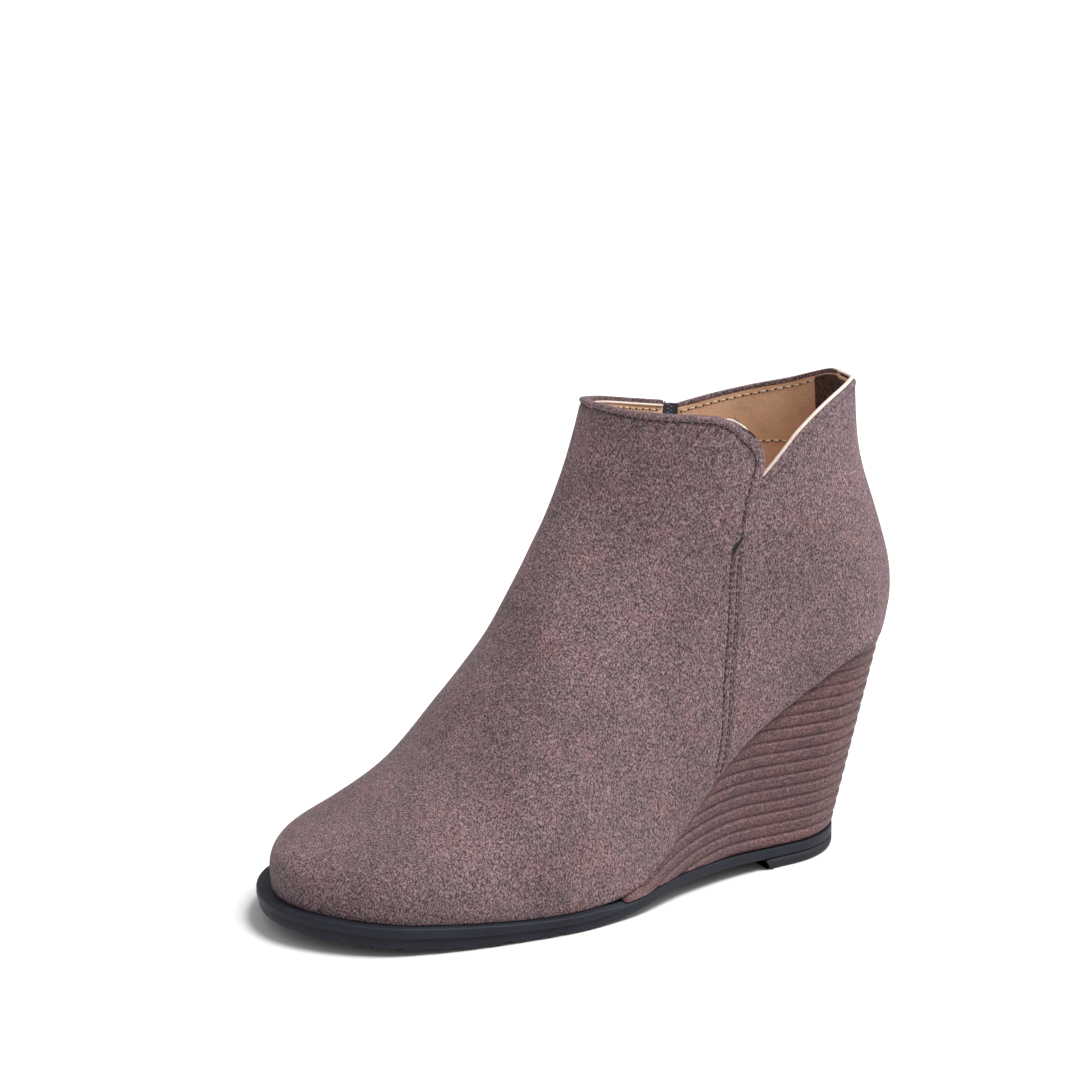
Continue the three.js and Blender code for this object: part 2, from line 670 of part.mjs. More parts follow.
// Sole and wedge
const soleLat = through(SOLE, "at", "lat");
const soleMed = through(SOLE, "at", "med");
const SOLE_BACK = HEEL_SETBACK;
const SOLE_TIP = LENGTH + RIM;

// Half width of the sole's outline at x.
function soleHalf(x, side) {
  const half = (side === OUTER ? soleLat(x / LENGTH) : soleMed(x / LENGTH)) * BALL_WIDTH;
  const heel = clamp((x - SOLE_BACK) / (HEEL_ROUND * LENGTH), 0, 1);
  const toe = clamp((SOLE_TIP - x) / (TOE_ROUND * LENGTH), 0, 1);
  return half * Math.sqrt(1 - (1 - heel) ** 2) * Math.sqrt(1 - (1 - toe) ** 2);
}
const groundShare = through(GROUND, "at", "arch");
const groundSpring = through(GROUND, "at", "spring");
const groundZ = (x) => Math.max(0, groundShare(x / LENGTH)) * PAD + Math.max(0, groundSpring(x / LENGTH)) * TOE_SPRING;
const stripTop = (x) => groundZ(x) + STRIP;
const rampAt = (x) => ease(clamp((x / LENGTH - RAMP_START) / (RAMP_END - RAMP_START), 0, 1));
const soleTop = (x) => lerp(stripTop(x), bottomZ(x) - GAP, rampAt(x));

// Closed outline in plan, counter-clockwise from the back: outer half first reversed, with outward normals.
function outline(back, tip, half, count, roundTip) {
  const share = (i) => (roundTip ? (1 - Math.cos((Math.PI * i) / count)) / 2 : 1 - Math.cos((Math.PI / 2) * (i / count)));
  const at = (i, side) => {
    const x = lerp(back, tip, share(i));
    return new THREE.Vector2(x, side * half(x, side));
  };
  const points = [];
  for (let i = 0; i <= count; i++) points.push(at(i, INNER));
  for (let i = roundTip ? count - 1 : count; i > 0; i--) points.push(at(i, OUTER));
  return points;
}
function offsetPlan(points, distance) {
  const n = points.length;
  return points.map((p, i) => {
    const dir = points[(i + 1) % n].clone().sub(points[(i + n - 1) % n]).normalize();
    return new THREE.Vector2(p.x + dir.y * distance, p.y - dir.x * distance);
  });
}

// Solid from closed rings of equal length, first ring lowest, with ruled caps across the outline.
function ringSolid(rings, roundTip) {
  const n = rings[0].length;
  const points = rings.flat();
  const faces = [];
  for (let r = 0; r + 1 < rings.length; r++)
    for (let i = 0; i < n; i++) {
      const a = r * n + i;
      const b = r * n + ((i + 1) % n);
      faces.push([a, b, b + n], [a, b + n, a + n]);
    }
  const cap = (start, up) => {
    const across = (i) => start + ((n - i) % n);
    const last = roundTip ? n / 2 : (n - 1) / 2;
    for (let i = 0; i < last; i++) {
      const q = [start + i, start + i + 1, across(i + 1), across(i)];
      if (!up) q.reverse();
      for (const f of [
        [q[0], q[1], q[2]],
        [q[0], q[2], q[3]],
      ])
        if (new Set(f).size === 3) faces.push(f);
    }
  };
  cap(0, false);
  cap((rings.length - 1) * n, true);
  return tidy(points, faces);
}

// Drop the faces that close up to nothing.
function tidy(points, faces) {
  const ids = new Map();
  const kept = [];
  const index = points.map((p) => {
    const key = `${p.x.toFixed(3)},${p.y.toFixed(3)},${p.z.toFixed(3)}`;
    if (!ids.has(key)) ids.set(key, kept.push(p) - 1);
    return ids.get(key);
  });
  return geometryOf(
    kept,
    faces.map((f) => f.map((i) => index[i])).filter((f) => new Set(f).size === 3),
  );
}
const ring = (plan, inset, height) =>
  offsetPlan(plan, -inset).map((p) => new THREE.Vector3(p.x, p.y, height(p.x)));

function makeOutsole() {
  const plan = outline(SOLE_BACK, SOLE_TIP, soleHalf, SOLE_STATIONS, true);
  const tierInset = (x) => TIER * rampAt(x);
  const tier = (x) => lerp(stripTop(x), groundZ(x) + (bottomZ(x) - GAP - groundZ(x)) * TIER_SHARE, rampAt(x));
  const lower = (extra) => (height) =>
    offsetPlan(plan, 0).map((p, i) => {
      const q = offsetPlan(plan, -tierInset(plan[i].x) - extra)[i];
      return new THREE.Vector3(q.x, q.y, height(plan[i].x));
    });
  const rings = [
    lower(TREAD_CHAMFER)(groundZ),
    lower(0)((x) => groundZ(x) + TREAD_CHAMFER),
    lower(0)((x) => lerp(stripTop(x) - 0.6, tier(x), rampAt(x))),
    lower(-1)((x) => lerp(stripTop(x) - 0.3, tier(x) + 0.02, rampAt(x))).map((p, i) => {
      const q = plan[i];
      return new THREE.Vector3(q.x, q.y, p.z);
    }),
    ring(plan, 0.1, (x) => lerp(stripTop(x) - 0.15, soleTop(x) - 0.5, rampAt(x))),
    ring(plan, 0.6, soleTop),
  ];
  return ringSolid(rings, true);
}

// Coarse grooves across the underside of the forefoot.
function cutTread(geometry) {
  let solid = solidOf(geometry);
  for (let i = 0; i < TREAD_GROOVES; i++) {
    const x = lerp(TREAD_FROM, TREAD_TO, i / (TREAD_GROOVES - 1)) * LENGTH;
    const bar = wasm.Manifold.cube([TREAD_GROOVE, 140, 2 * TREAD_DEPTH], true);
    solid = solid.subtract(bar.rotate([0, 0, -TREAD_TURN]).translate([x, 0, groundZ(x)]));
  }
  return geometryFrom(solid);
}
function solidOf(geometry) {
  const merged = mergeVertices(geometry.index ? geometry : geometry.clone(), 1e-4);
  return new wasm.Manifold(
    new wasm.Mesh({
      numProp: 3,
      vertProperties: new Float32Array(merged.getAttribute("position").array),
      triVerts: new Uint32Array(merged.index.array),
    }),
  );
}
function geometryFrom(solid) {
  const mesh = solid.getMesh();
  const points = [];
  for (let i = 0; i < mesh.vertProperties.length; i += mesh.numProp)
    points.push(new THREE.Vector3(...mesh.vertProperties.slice(i, i + 3)));
  const faces = [];
  for (let i = 0; i < mesh.triVerts.length; i += 3) faces.push([...mesh.triVerts.slice(i, i + 3)]);
  return geometryOf(points, faces);
}

// Heel pad under the back of the strip.
function makeHeelPad() {
  const plan = outline(SOLE_BACK, SOLE_BACK + PAD_LENGTH, soleHalf, 18, false);
  const n = plan.length;
  const slant = (inset, z, lean) =>
    offsetPlan(plan, -inset).map((p, i) => {
      const front = i === (n - 1) / 2 || i === (n + 1) / 2;
      return new THREE.Vector3(front ? SOLE_BACK + PAD_LENGTH - lean : p.x, p.y, z);
    });
  return ringSolid([slant(0.9, 0, 3.4), slant(0.1, 0.9, 2.6), slant(0, PAD - GAP, 0)], false);
}

// Wedge: layers ruled from the strip's outline up to the feather edge, with a groove under each.
function makeWedge() {
  const thick = (x) => bottomZ(x) - GAP - (soleTop(x) + GAP);
  const front = solve(0.45 * LENGTH, RAMP_END * LENGTH, (x) => thick(x) - WEDGE_TIP);
  const low = outline(SOLE_BACK + 0.6, front, (x, side) => soleHalf(x, side) - 0.4, WEDGE_STATIONS, false);
  const eaves = through(EAVES, "at", "out");
  const overhang = (x) => eaves(x / LENGTH) * OVERHANG;
  const high = outline(
    FEATHER_BACK * LENGTH + overhang(0),
    front,
    (x, side) => Math.max(0, featherHalf(x, side) - overhang(x)),
    WEDGE_STATIONS,
    false,
  );
  low[0].y = 0;
  high[0].y = 0;
  const bottom = low.map((p) => new THREE.Vector3(p.x, p.y, soleTop(p.x) + GAP));
  const top = high.map((p) => new THREE.Vector3(p.x, p.y, bottomZ(p.x) - GAP));
  const rows = [{ h: 0, inset: 0.2 }];
  for (let k = 0; k < WEDGE_LAYERS; k++) {
    rows.push({ h: (k + 0.18) * LAYER, inset: 0 });
    rows.push({ h: (k + 0.86) * LAYER, inset: 0.05 });
    rows.push({ h: (k + 1) * LAYER, inset: GROOVE });
  }
  const bend = (x) => clamp((x / LENGTH - LAYER_BEND) / (RAMP_START - LAYER_BEND), 0, 1);
  const drop = bottom.map((p) => LAYER_DROP * bend(p.x) ** 2);
  const reach = Math.max(...top.map((p, i) => p.z - bottom[i].z + drop[i]));
  rows.push({ h: Math.max(reach, WEDGE_LAYERS * LAYER) + 1, inset: 0 });
  const rings = rows.map(({ h }) => {
    const real = bottom.map((b, i) => clamp(h - drop[i], 0, top[i].z - b.z));
    const plan = bottom.map((b, i) => b.clone().lerp(top[i], real[i] / (top[i].z - b.z)));
    const flat = plan.map((p) => new THREE.Vector2(p.x, p.y));
    return plan.map((p, i) => {
      const q = offsetPlan(flat, -Math.max(0, linearInset(rows, real[i] + drop[i])))[i];
      return new THREE.Vector3(q.x, q.y, p.z);
    });
  });
  return ringSolid(rings, false);
}
function linearInset(rows, h) {
  let i = 0;
  while (i < rows.length - 2 && h > rows[i + 1].h) i++;
  return lerp(rows[i].inset, rows[i + 1].inset, clamp((h - rows[i].h) / (rows[i + 1].h - rows[i].h), 0, 1));
}

function makeInsole() {
  const plan = outline(FEATHER_BACK * LENGTH, FEATHER_TIP * LENGTH, featherHalf, SOLE_STATIONS, true);
  const inset = WALL + INSOLE_GAP;
  return ringSolid([ring(plan, inset, bottomZ), ring(plan, inset, (x) => bottomZ(x) + INSOLE)], true);
}

// Place, directions and matrix on the last at a rib of the zip's line: across to the toe, up, and out of the skin.
function zipFrame(t) {
  const origin = zipPoint(t, zipX);
  const up = zipPoint(t + 0.05, zipX).sub(zipPoint(t - 0.05, zipX)).normalize();
  const angle = angleOn(t, INNER, zipX);
  const toe = lastPoint(t, 0.03 - angle).sub(lastPoint(t, -0.03 - angle));
  const out = toe.cross(up).normalize();
  const across = new THREE.Vector3().crossVectors(up, out);
  return { origin, across, up, out, matrix: new THREE.Matrix4().makeBasis(across, up, out).setPosition(origin) };
}
const zipRibAt = (z) => ribOn(INNER, zipX, z);
const chainFoot = zipRibAt(seatZ(ZIP_FOOT_RISE) + ZIP_SLOT / 2 + 1);
const chainTop = zipRibAt(seatZ(ZIP_TOP_RISE) - 1);

// Tape and closed chain as one strip in the slot.
function makeZipChain() {
  const half = ZIP_SLOT / 2 - GAP;
  const chain = CHAIN_WIDTH / 2;
  const top = -TAPE / 2 + CHAIN_RISE;
  const section = [
    [-half, -1.5 * TAPE],
    [-half, -TAPE / 2],
    [-chain, -TAPE / 2],
    [-chain * 0.85, top],
    [chain * 0.85, top],
    [chain, -TAPE / 2],
    [half, -TAPE / 2],
    [half, -1.5 * TAPE],
  ];
  const rings = [];
  for (let k = 0; k <= ZIP_ROWS; k++) {
    const f = zipFrame(lerp(chainFoot, chainTop, k / ZIP_ROWS));
    rings.push(section.map(([a, o]) => f.origin.clone().addScaledVector(f.across, a).addScaledVector(f.out, o)));
  }
  const n = section.length;
  const points = rings.flat();
  const faces = [];
  for (let k = 0; k < ZIP_ROWS; k++)
    for (let i = 0; i < n; i++) {
      const a = k * n + i;
      const b = k * n + ((i + 1) % n);
      faces.push([a, b, b + n], [a, b + n, a + n]);
    }
  const flat = THREE.ShapeUtils.triangulateShape(section.map(([a, o]) => new THREE.Vector2(a, o)), []);
  for (const f of flat) {
    faces.push(f);
    faces.push(f.map((i) => i + ZIP_ROWS * n).reverse());
  }
  return outward(tidy(points, faces));
}

// Turn a closed mesh so that its faces look out.
function outward(geometry) {
  const p = geometry.getAttribute("position");
  const index = geometry.index.array;
  let volume = 0;
  const [a, b, c] = [new THREE.Vector3(), new THREE.Vector3(), new THREE.Vector3()];
  for (let i = 0; i < index.length; i += 3) {
    a.fromBufferAttribute(p, index[i]);
    b.fromBufferAttribute(p, index[i + 1]);
    c.fromBufferAttribute(p, index[i + 2]);
    volume += a.dot(b.cross(c));
  }
  if (volume < 0) geometry.setIndex([...index].reverse());
  return geometry;
}

// Flat plate of a shape given in across and up, between two distances out.
function plate(shape, from, to) {
  const geometry = new THREE.ExtrudeGeometry(shape, { depth: to - from, bevelEnabled: false, curveSegments: 6 });
  geometry.translate(0, 0, from);
  geometry.deleteAttribute("normal");
  geometry.deleteAttribute("uv");
  return mergeVertices(geometry, 1e-4);
}
const sliderFrame = zipFrame(zipRibAt(seatZ(ZIP_TOP_RISE) - 1.5 - SLIDER_LENGTH / 2));
const SLIDER_FOOT = -TAPE / 2 + CHAIN_RISE + GAP;
const SLIDER_TOP = SLIDER_FOOT + SLIDER_THICK;
const PIN_UP = 1.3; // the pull's bar sits in the upper half of the arch
const PIN_OUT = SLIDER_TOP + BRIDGE_RISE / 2;

function makeSlider() {
  const w = SLIDER_WIDTH / 2;
  const l = SLIDER_LENGTH / 2;
  const body = new THREE.Shape([
    new THREE.Vector2(-w, l - 1.2),
    new THREE.Vector2(-w, 0),
    new THREE.Vector2(-w * 0.72, -l + 0.8),
    new THREE.Vector2(-w * 0.45, -l),
    new THREE.Vector2(w * 0.45, -l),
    new THREE.Vector2(w * 0.72, -l + 0.8),
    new THREE.Vector2(w, 0),
    new THREE.Vector2(w, l - 1.2),
    new THREE.Vector2(w - 1, l),
    new THREE.Vector2(-w + 1, l),
  ]);
  const arch = (half, rise, foot) => [
    [-half, foot],
    [half, foot],
    [half * 0.92, foot + rise * 0.6],
    [half * 0.6, foot + rise],
    [-half * 0.6, foot + rise],
    [-half * 0.92, foot + rise * 0.6],
  ];
  const outer = new THREE.Shape(arch(l - 0.9, BRIDGE_RISE + BRIDGE_BAR + 0.2, -0.2).map((p) => new THREE.Vector2(...p)));
  outer.holes.push(new THREE.Path(arch(l - 1.9, BRIDGE_RISE, 0).map((p) => new THREE.Vector2(...p))));
  const bridge = plate(outer, -BRIDGE_WIDTH / 2, BRIDGE_WIDTH / 2);
  bridge.applyMatrix4(
    new THREE.Matrix4()
      .makeBasis(new THREE.Vector3(0, 1, 0), new THREE.Vector3(0, 0, 1), new THREE.Vector3(1, 0, 0))
      .setPosition(0, 0, SLIDER_TOP),
  );
  const joined = solidOf(plate(body, SLIDER_FOOT, SLIDER_TOP)).add(solidOf(bridge));
  return geometryFrom(joined).applyMatrix4(sliderFrame.matrix);
}

// Pull: loop round the arch, then a paddle, hanging from its bar at the least slope that clears the panel.
const pinCentre = new THREE.Vector3(0, PIN_UP, PIN_OUT).applyMatrix4(sliderFrame.matrix);
function pullSlope() {
  let slope = -0.04;
  for (let w = 3; w <= PULL_LENGTH; w += 1.5) {
    const p = zipPoint(zipRibAt(pinCentre.z - w), zipX).sub(sliderFrame.origin);
    const skin = p.dot(sliderFrame.out) + SEAM_STEP + PULL_THICK / 2 + 1.5 * GAP;
    slope = Math.max(slope, (skin - PIN_OUT) / w);
  }
  return slope;
}
function makePull() {
  const rounded = (w, l, r, top) => {
    const corners = [
      [w - r, top - r, 0],
      [-w + r, top - r, 90],
      [-w + r, top - l + r, 180],
      [w - r, top - l + r, 270],
    ];
    return corners.flatMap(([x, y, start]) =>
      [0, 22.5, 45, 67.5, 90].map((turn) => {
        const angle = THREE.MathUtils.degToRad(start + turn);
        return new THREE.Vector2(x + r * Math.cos(angle), y + r * Math.sin(angle));
      }),
    );
  };
  const bar = PULL_THICK;
  const inner = LOOP_WIDTH / 2 - LOOP_BAR;
  const loop = new THREE.Shape(rounded(LOOP_WIDTH / 2, LOOP_LENGTH, LOOP_WIDTH * 0.42, bar / 2));
  loop.holes.push(new THREE.Path(rounded(inner, LOOP_LENGTH - bar - LOOP_BAR, inner * 0.9, -bar / 2)));
  const paddleLength = PULL_LENGTH - LOOP_LENGTH + LOOP_BAR / 2;
  const paddle = new THREE.Shape(rounded(PADDLE_WIDTH / 2, paddleLength, 0.8, bar / 2 + LOOP_BAR / 2 - LOOP_LENGTH));
  const half = PULL_THICK / 2;
  const solid = solidOf(plate(loop, -half, half)).add(solidOf(plate(paddle, -half, half)));
  const turn = new THREE.Matrix4().makeRotationX(-Math.atan(pullSlope()));
  const place = sliderFrame.matrix.clone().setPosition(pinCentre);
  return geometryFrom(solid).applyMatrix4(turn).applyMatrix4(place);
}

const root = new THREE.Group();
const originX = HEEL_SETBACK + PAD_LENGTH / 2;
function add(name, geometry, color, roughness = 0.8, metalness = 0) {
  geometry.translate(-originX, 0, 0);
  const mesh = new THREE.Mesh(geometry, new THREE.MeshStandardMaterial({ color, roughness, metalness }));
  mesh.name = name;
  root.add(mesh);
}
add("upper", makeUpper(), 0x7a6466, 0.95);
add("wedge", makeWedge(), 0x6a5355, 0.7);
add("outsole", cutTread(makeOutsole()), 0x2c2c34, 0.7);
add("heel_pad", makeHeelPad(), 0x26262c, 0.7);
add("insole", makeInsole(), 0xa88569, 0.8);
add("zip_chain", makeZipChain(), 0x24222c, 0.6);
add("zip_slider", makeSlider(), 0x4a4448, 0.35, 0.8);
add("zip_pull", makePull(), 0x8a7278, 0.4, 0.3);
export default root;
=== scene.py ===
import math

import bmesh
import bpy
import numpy as np
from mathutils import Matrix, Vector


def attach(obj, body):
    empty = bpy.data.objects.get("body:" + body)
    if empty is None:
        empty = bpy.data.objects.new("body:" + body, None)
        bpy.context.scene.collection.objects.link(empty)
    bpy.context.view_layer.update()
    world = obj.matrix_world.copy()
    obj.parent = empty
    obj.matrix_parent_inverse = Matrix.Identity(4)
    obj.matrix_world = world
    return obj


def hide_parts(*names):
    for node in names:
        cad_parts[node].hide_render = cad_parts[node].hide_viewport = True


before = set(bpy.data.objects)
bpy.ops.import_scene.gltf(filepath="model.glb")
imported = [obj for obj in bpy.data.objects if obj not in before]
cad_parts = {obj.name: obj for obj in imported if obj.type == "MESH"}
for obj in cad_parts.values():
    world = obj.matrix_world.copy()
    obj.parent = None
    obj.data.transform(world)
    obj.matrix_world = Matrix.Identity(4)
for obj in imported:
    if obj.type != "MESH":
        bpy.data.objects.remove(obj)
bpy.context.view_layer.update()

# Millimetres, x = 0 at the back of the last. The model's origin lies ORIGIN_X further forward.
ORIGIN_X = 43.0
LENGTH = 238.0
BALL_WIDTH = 87.0
HEEL_HEIGHT = 72.0
FOREFOOT_HEIGHT = 6.5
TOE_SPRING = 5.5
SHAFT_HEIGHT = 93.0
WALL = 2.0
GAP = 0.3
RIM = 2.2
STRIP = 3.6
PAD = 3.6
PAD_LENGTH = 40.0
SOLE_BACK = 23.0
SOLE_TIP = LENGTH + RIM
RAMP_START = 0.5
RAMP_END = 0.6
LAYER = 4.2
LAYERS = 16
LAYER_DROP = 10.4
LAYER_BEND = 0.3
OVERHANG = 1.8
ZIP_SLOT = 6.4
TILT_RISE = 0.4
HEEL_ROUND = 0.115
TOE_ROUND = 0.13
HEEL_RIB = 12
LAST_RIB = 19
OUTER = 1
INNER = -1


# Cubic curve through a table's points.
def curve(xs, ys):
    xs, ys = np.asarray(xs, float), np.asarray(ys, float)
    if xs[0] > xs[-1]:
        xs, ys = xs[::-1], ys[::-1]
    step = np.diff(xs)
    chord = np.diff(ys) / step
    inner = (chord[:-1] * step[1:] + chord[1:] * step[:-1]) / (step[:-1] + step[1:])
    slope = np.concatenate([chord[:1], inner, chord[-1:]])

    def value(v):
        v = np.asarray(v, float)
        i = np.clip(np.searchsorted(xs, v, side="right") - 1, 0, len(xs) - 2)
        h = step[i]
        k = np.clip((v - xs[i]) / h, 0, 1)
        k2, k3 = k * k, k * k * k
        return (
            ys[i] * (2 * k3 - 3 * k2 + 1)
            + slope[i] * h * (k3 - 2 * k2 + k)
            + ys[i + 1] * (3 * k2 - 2 * k3)
            + slope[i + 1] * h * (k3 - k2)
        )

    return value


def columns(rows):
    return [np.array(c) for c in zip(*rows)]


def bisect(lo, hi, test, rounds=36):
    lo, hi = np.array(lo, float), np.array(hi, float)
    low = test(lo) > 0
    for _ in range(rounds):
        mid = (lo + hi) / 2
        same = (test(mid) > 0) == low
        lo = np.where(same, mid, lo)
        hi = np.where(same, hi, mid)
    return (lo + hi) / 2


def lerp(a, b, k):
    return a + (b - a) * k


def ease(v):
    v = np.clip(v, 0, 1)
    return v * v * (3 - 2 * v)


def bell(d, middle, width):
    return np.exp(-(((d - middle) / width) ** 2))


# Tables of the last: at, share of the heel's rise, share of the toe spring
at, heel, spring = columns([
    (0.0, 1.062, 0), (0.06, 1.047, 0), (0.12, 0.997, 0), (0.18, 0.889, 0), (0.24, 0.774, 0), (0.3, 0.65, 0),
    (0.36, 0.468, 0), (0.42, 0.262, 0), (0.48, 0.098, 0), (0.54, 0.016, 0), (0.6, 0, 0), (0.68, 0, 0.03),
    (0.78, 0, 0.3), (0.88, 0, 0.62), (1.0, 0, 1),
])
bottom_heel, bottom_spring = curve(at, heel), curve(at, spring)
# at, outer and inner half width of the feather edge
at, lat, med = columns([
    (0.0, 0.327, 0.321), (0.15, 0.328, 0.318), (0.28, 0.335, 0.3), (0.4, 0.375, 0.29), (0.52, 0.475, 0.36),
    (0.61, 0.518, 0.44), (0.72, 0.508, 0.49), (0.82, 0.462, 0.485), (0.92, 0.385, 0.44), (1.0, 0.315, 0.37),
])
feather_lat, feather_med = curve(at, lat), curve(at, med)
# at, outer and inner half width of the sole
at, lat, med = columns([
    (0.09, 0.295, 0.295), (0.2, 0.305, 0.295), (0.3, 0.33, 0.29), (0.4, 0.395, 0.305), (0.52, 0.51, 0.385),
    (0.61, 0.555, 0.475), (0.72, 0.542, 0.52), (0.82, 0.5, 0.518), (0.92, 0.42, 0.475), (1.01, 0.345, 0.4),
])
sole_lat, sole_med = curve(at, lat), curve(at, med)
# at, arch, spring of the underside
at, arch, spring = columns([
    (0.09, 1, 0), (0.26, 1, 0), (0.36, 1.25, 0), (0.46, 1.1, 0), (0.54, 0.35, 0), (0.6, 0, 0), (0.7, 0, 0),
    (0.78, 0, 0.03), (0.88, 0, 0.3), (1.01, 0, 0.95),
])
ground_arch, ground_spring = curve(at, arch), curve(at, spring)
# at, share of the upper's greatest overhang past the wedge's top
eaves = curve(*columns([(0.02, 0.2), (0.1, 0.45), (0.22, 1), (0.33, 0.9), (0.4, 0.4), (0.6, 0.25)]))
# Ribs: ax, up, bx, rise, lat, med, peak, top, low
RIBS = columns([
    (0.992, 0.07, 0.986, 0, 0, 0, 0.6, 2, 2.2),
    (0.982, 0.148, 0.977, 0, 0.12, 0.13, 0.64, 2.1, 2.4),
    (0.954, 0.196, 0.951, 0, 0.22, 0.24, 0.68, 2.1, 2.5),
    (0.911, 0.242, 0.908, 0, 0.33, 0.35, 0.7, 2.1, 2.6),
    (0.84, 0.333, 0.84, 0, 0.43, 0.43, 0.72, 2, 2.6),
    (0.76, 0.487, 0.75, 0, 0.5, 0.48, 0.74, 1.95, 2.6),
    (0.693, 0.729, 0.655, 0, 0.525, 0.47, 0.75, 1.9, 2.6),
    (0.637, 0.922, 0.56, 0, 0.505, 0.44, 0.75, 1.9, 2.5),
    (0.611, 1.054, 0.466, 0, 0.455, 0.4, 0.75, 1.9, 2.4),
    (0.59, 1.15, 0.37, 0, 0.41, 0.37, 0.74, 1.95, 2.3),
    (0.5735, 1.23, 0.25, 0, 0.38, 0.36, 0.72, 2, 2.3),
    (0.561, 1.286, 0.13, 0, 0.365, 0.35, 0.68, 2.05, 2.3),
    (0.5505, 1.337, 0.022, 0, 0.357, 0.345, 0.62, 2.1, 2.3),
    (0.54, 1.387, 0.003, 0.103, 0.353, 0.343, 0.57, 2.1, 2.3),
    (0.5295, 1.436, 0.004, 0.27, 0.35, 0.342, 0.54, 2.1, 2.25),
    (0.519, 1.482, 0.027, 0.478, 0.35, 0.342, 0.52, 2.1, 2.2),
    (0.5085, 1.526, 0.058, 0.708, 0.352, 0.345, 0.5, 2.1, 2.2),
    (0.498, 1.575, 0.067, 0.916, 0.356, 0.35, 0.48, 2.1, 2.2),
    (0.4887, 1.64, 0.069, 1.125, 0.36, 0.355, 0.48, 2.1, 2.2),
    (0.481, 1.723, 0.07, 1.365, 0.362, 0.358, 0.48, 2.1, 2.2),
])
rib = {n: curve(np.arange(20), c) for n, c in zip(["ax", "up", "bx", "rise", "lat", "med", "peak", "top", "low"], RIBS)}


def drawn(points):
    along, rise = columns(points)
    return along, rise


SEAM = drawn([
    (0.36, -0.6), (0.354, -0.38), (0.344, -0.2), (0.341, 0), (0.333, 0.14), (0.326, 0.28), (0.321, 0.43),
    (0.31, 0.56), (0.2955, 0.68), (0.2885, 0.745), (0.2832, 0.79), (0.2866, 0.845), (0.2965, 0.891),
    (0.3105, 0.931), (0.3355, 0.967),
])
ZIP = drawn([(0.34, -0.6), (0.33, -0.3), (0.32, 0), (0.31, 0.3), (0.298, 0.6), (0.288, 0.85), (0.28, 1.05)])
FRONT_TOP = {
    OUTER: drawn([
        (0.287, 0.846), (0.2965, 0.891), (0.3105, 0.931), (0.3355, 0.967), (0.357, 0.989), (0.38, 0.999),
        (0.411, 1.006), (0.456, 1.015), (0.483, 1.021), (0.54, 1.026),
    ]),
    INNER: drawn([
        (0.27, 0.878), (0.306, 0.894), (0.364, 0.925), (0.412, 0.956), (0.455, 0.985), (0.49, 1.018),
        (0.54, 1.026),
    ]),
}
QUARTER_TOP = {
    OUTER: drawn([
        (0.2885, 0.745), (0.2745, 0.776), (0.259, 0.813), (0.242, 0.854), (0.224, 0.895), (0.185, 0.956),
        (0.145, 0.997), (0.1, 1.018),
    ]),
    INNER: drawn([(0.28, 0.868), (0.226, 0.888), (0.165, 0.912), (0.113, 0.938), (0.085, 0.968)]),
}
NOTCH_RISE = 0.745
CORNER_RISE = 0.891
ZIP_FOOT_RISE = -0.05


def bottom_z(x):
    return (
        FOREFOOT_HEIGHT
        + bottom_heel(x / LENGTH) * (HEEL_HEIGHT - FOREFOOT_HEIGHT)
        + bottom_spring(x / LENGTH) * TOE_SPRING
    )


def seat_z(rise):
    return HEEL_HEIGHT + rise * SHAFT_HEIGHT


def rounded(x, half, back, tip):
    heel = np.clip((x - back) / (HEEL_ROUND * LENGTH), 0, 1)
    toe = np.clip((tip - x) / (TOE_ROUND * LENGTH), 0, 1)
    return half * BALL_WIDTH * np.sqrt(1 - (1 - heel) ** 2) * np.sqrt(1 - (1 - toe) ** 2)


def feather_half(x, side):
    share = np.where(np.asarray(side) > 0, feather_lat(x / LENGTH), feather_med(x / LENGTH))
    return rounded(x, share, 0.021 * LENGTH, 0.986 * LENGTH)


def sole_half(x, side):
    share = np.where(np.asarray(side) > 0, sole_lat(x / LENGTH), sole_med(x / LENGTH))
    return rounded(x, share, SOLE_BACK, SOLE_TIP)


def front_line(t):
    x = rib["ax"](t) * LENGTH
    return x, bottom_z(x) + rib["up"](t) * SHAFT_HEIGHT


HEEL_X = RIBS[2][HEEL_RIB] * LENGTH


def back_line(t):
    x = rib["bx"](t) * LENGTH
    rise = rib["rise"](t)
    low = seat_z(rise) + (bottom_z(HEEL_X) - HEEL_HEIGHT) * np.clip(1 - rise / TILT_RISE, 0, 1)
    return x, np.where(t <= HEEL_RIB, bottom_z(x), low)


def rib_half(t, side):
    own = np.where(np.asarray(side) > 0, rib["lat"](t), rib["med"](t)) * BALL_WIDTH
    return np.where(t < HEEL_RIB, np.maximum(own, feather_half(back_line(t)[0], side) * 1.02), own)


def feather_share(t, side):
    most = np.maximum(rib_half(t, side), 1e-9)
    share = np.clip(feather_half(back_line(t)[0], side) / most, 0, 1)
    return np.where(t >= HEEL_RIB, 0.0, np.where(most < 1e-6, 1.0, share))


def half_at(t, s, side):
    peak, most = rib["peak"](t), rib_half(t, side)
    n = rib["top"](t)
    front = most * (1 - np.clip((peak - s) / peak, 0, 1) ** n) ** (1 / n)
    n = rib["low"](t)
    lost = 1 - feather_share(t, side) ** n
    rear = most * np.maximum(0, 1 - lost * np.clip((s - peak) / (1 - peak), 0, 1) ** n) ** (1 / n)
    return np.where(s < peak, front, rear)


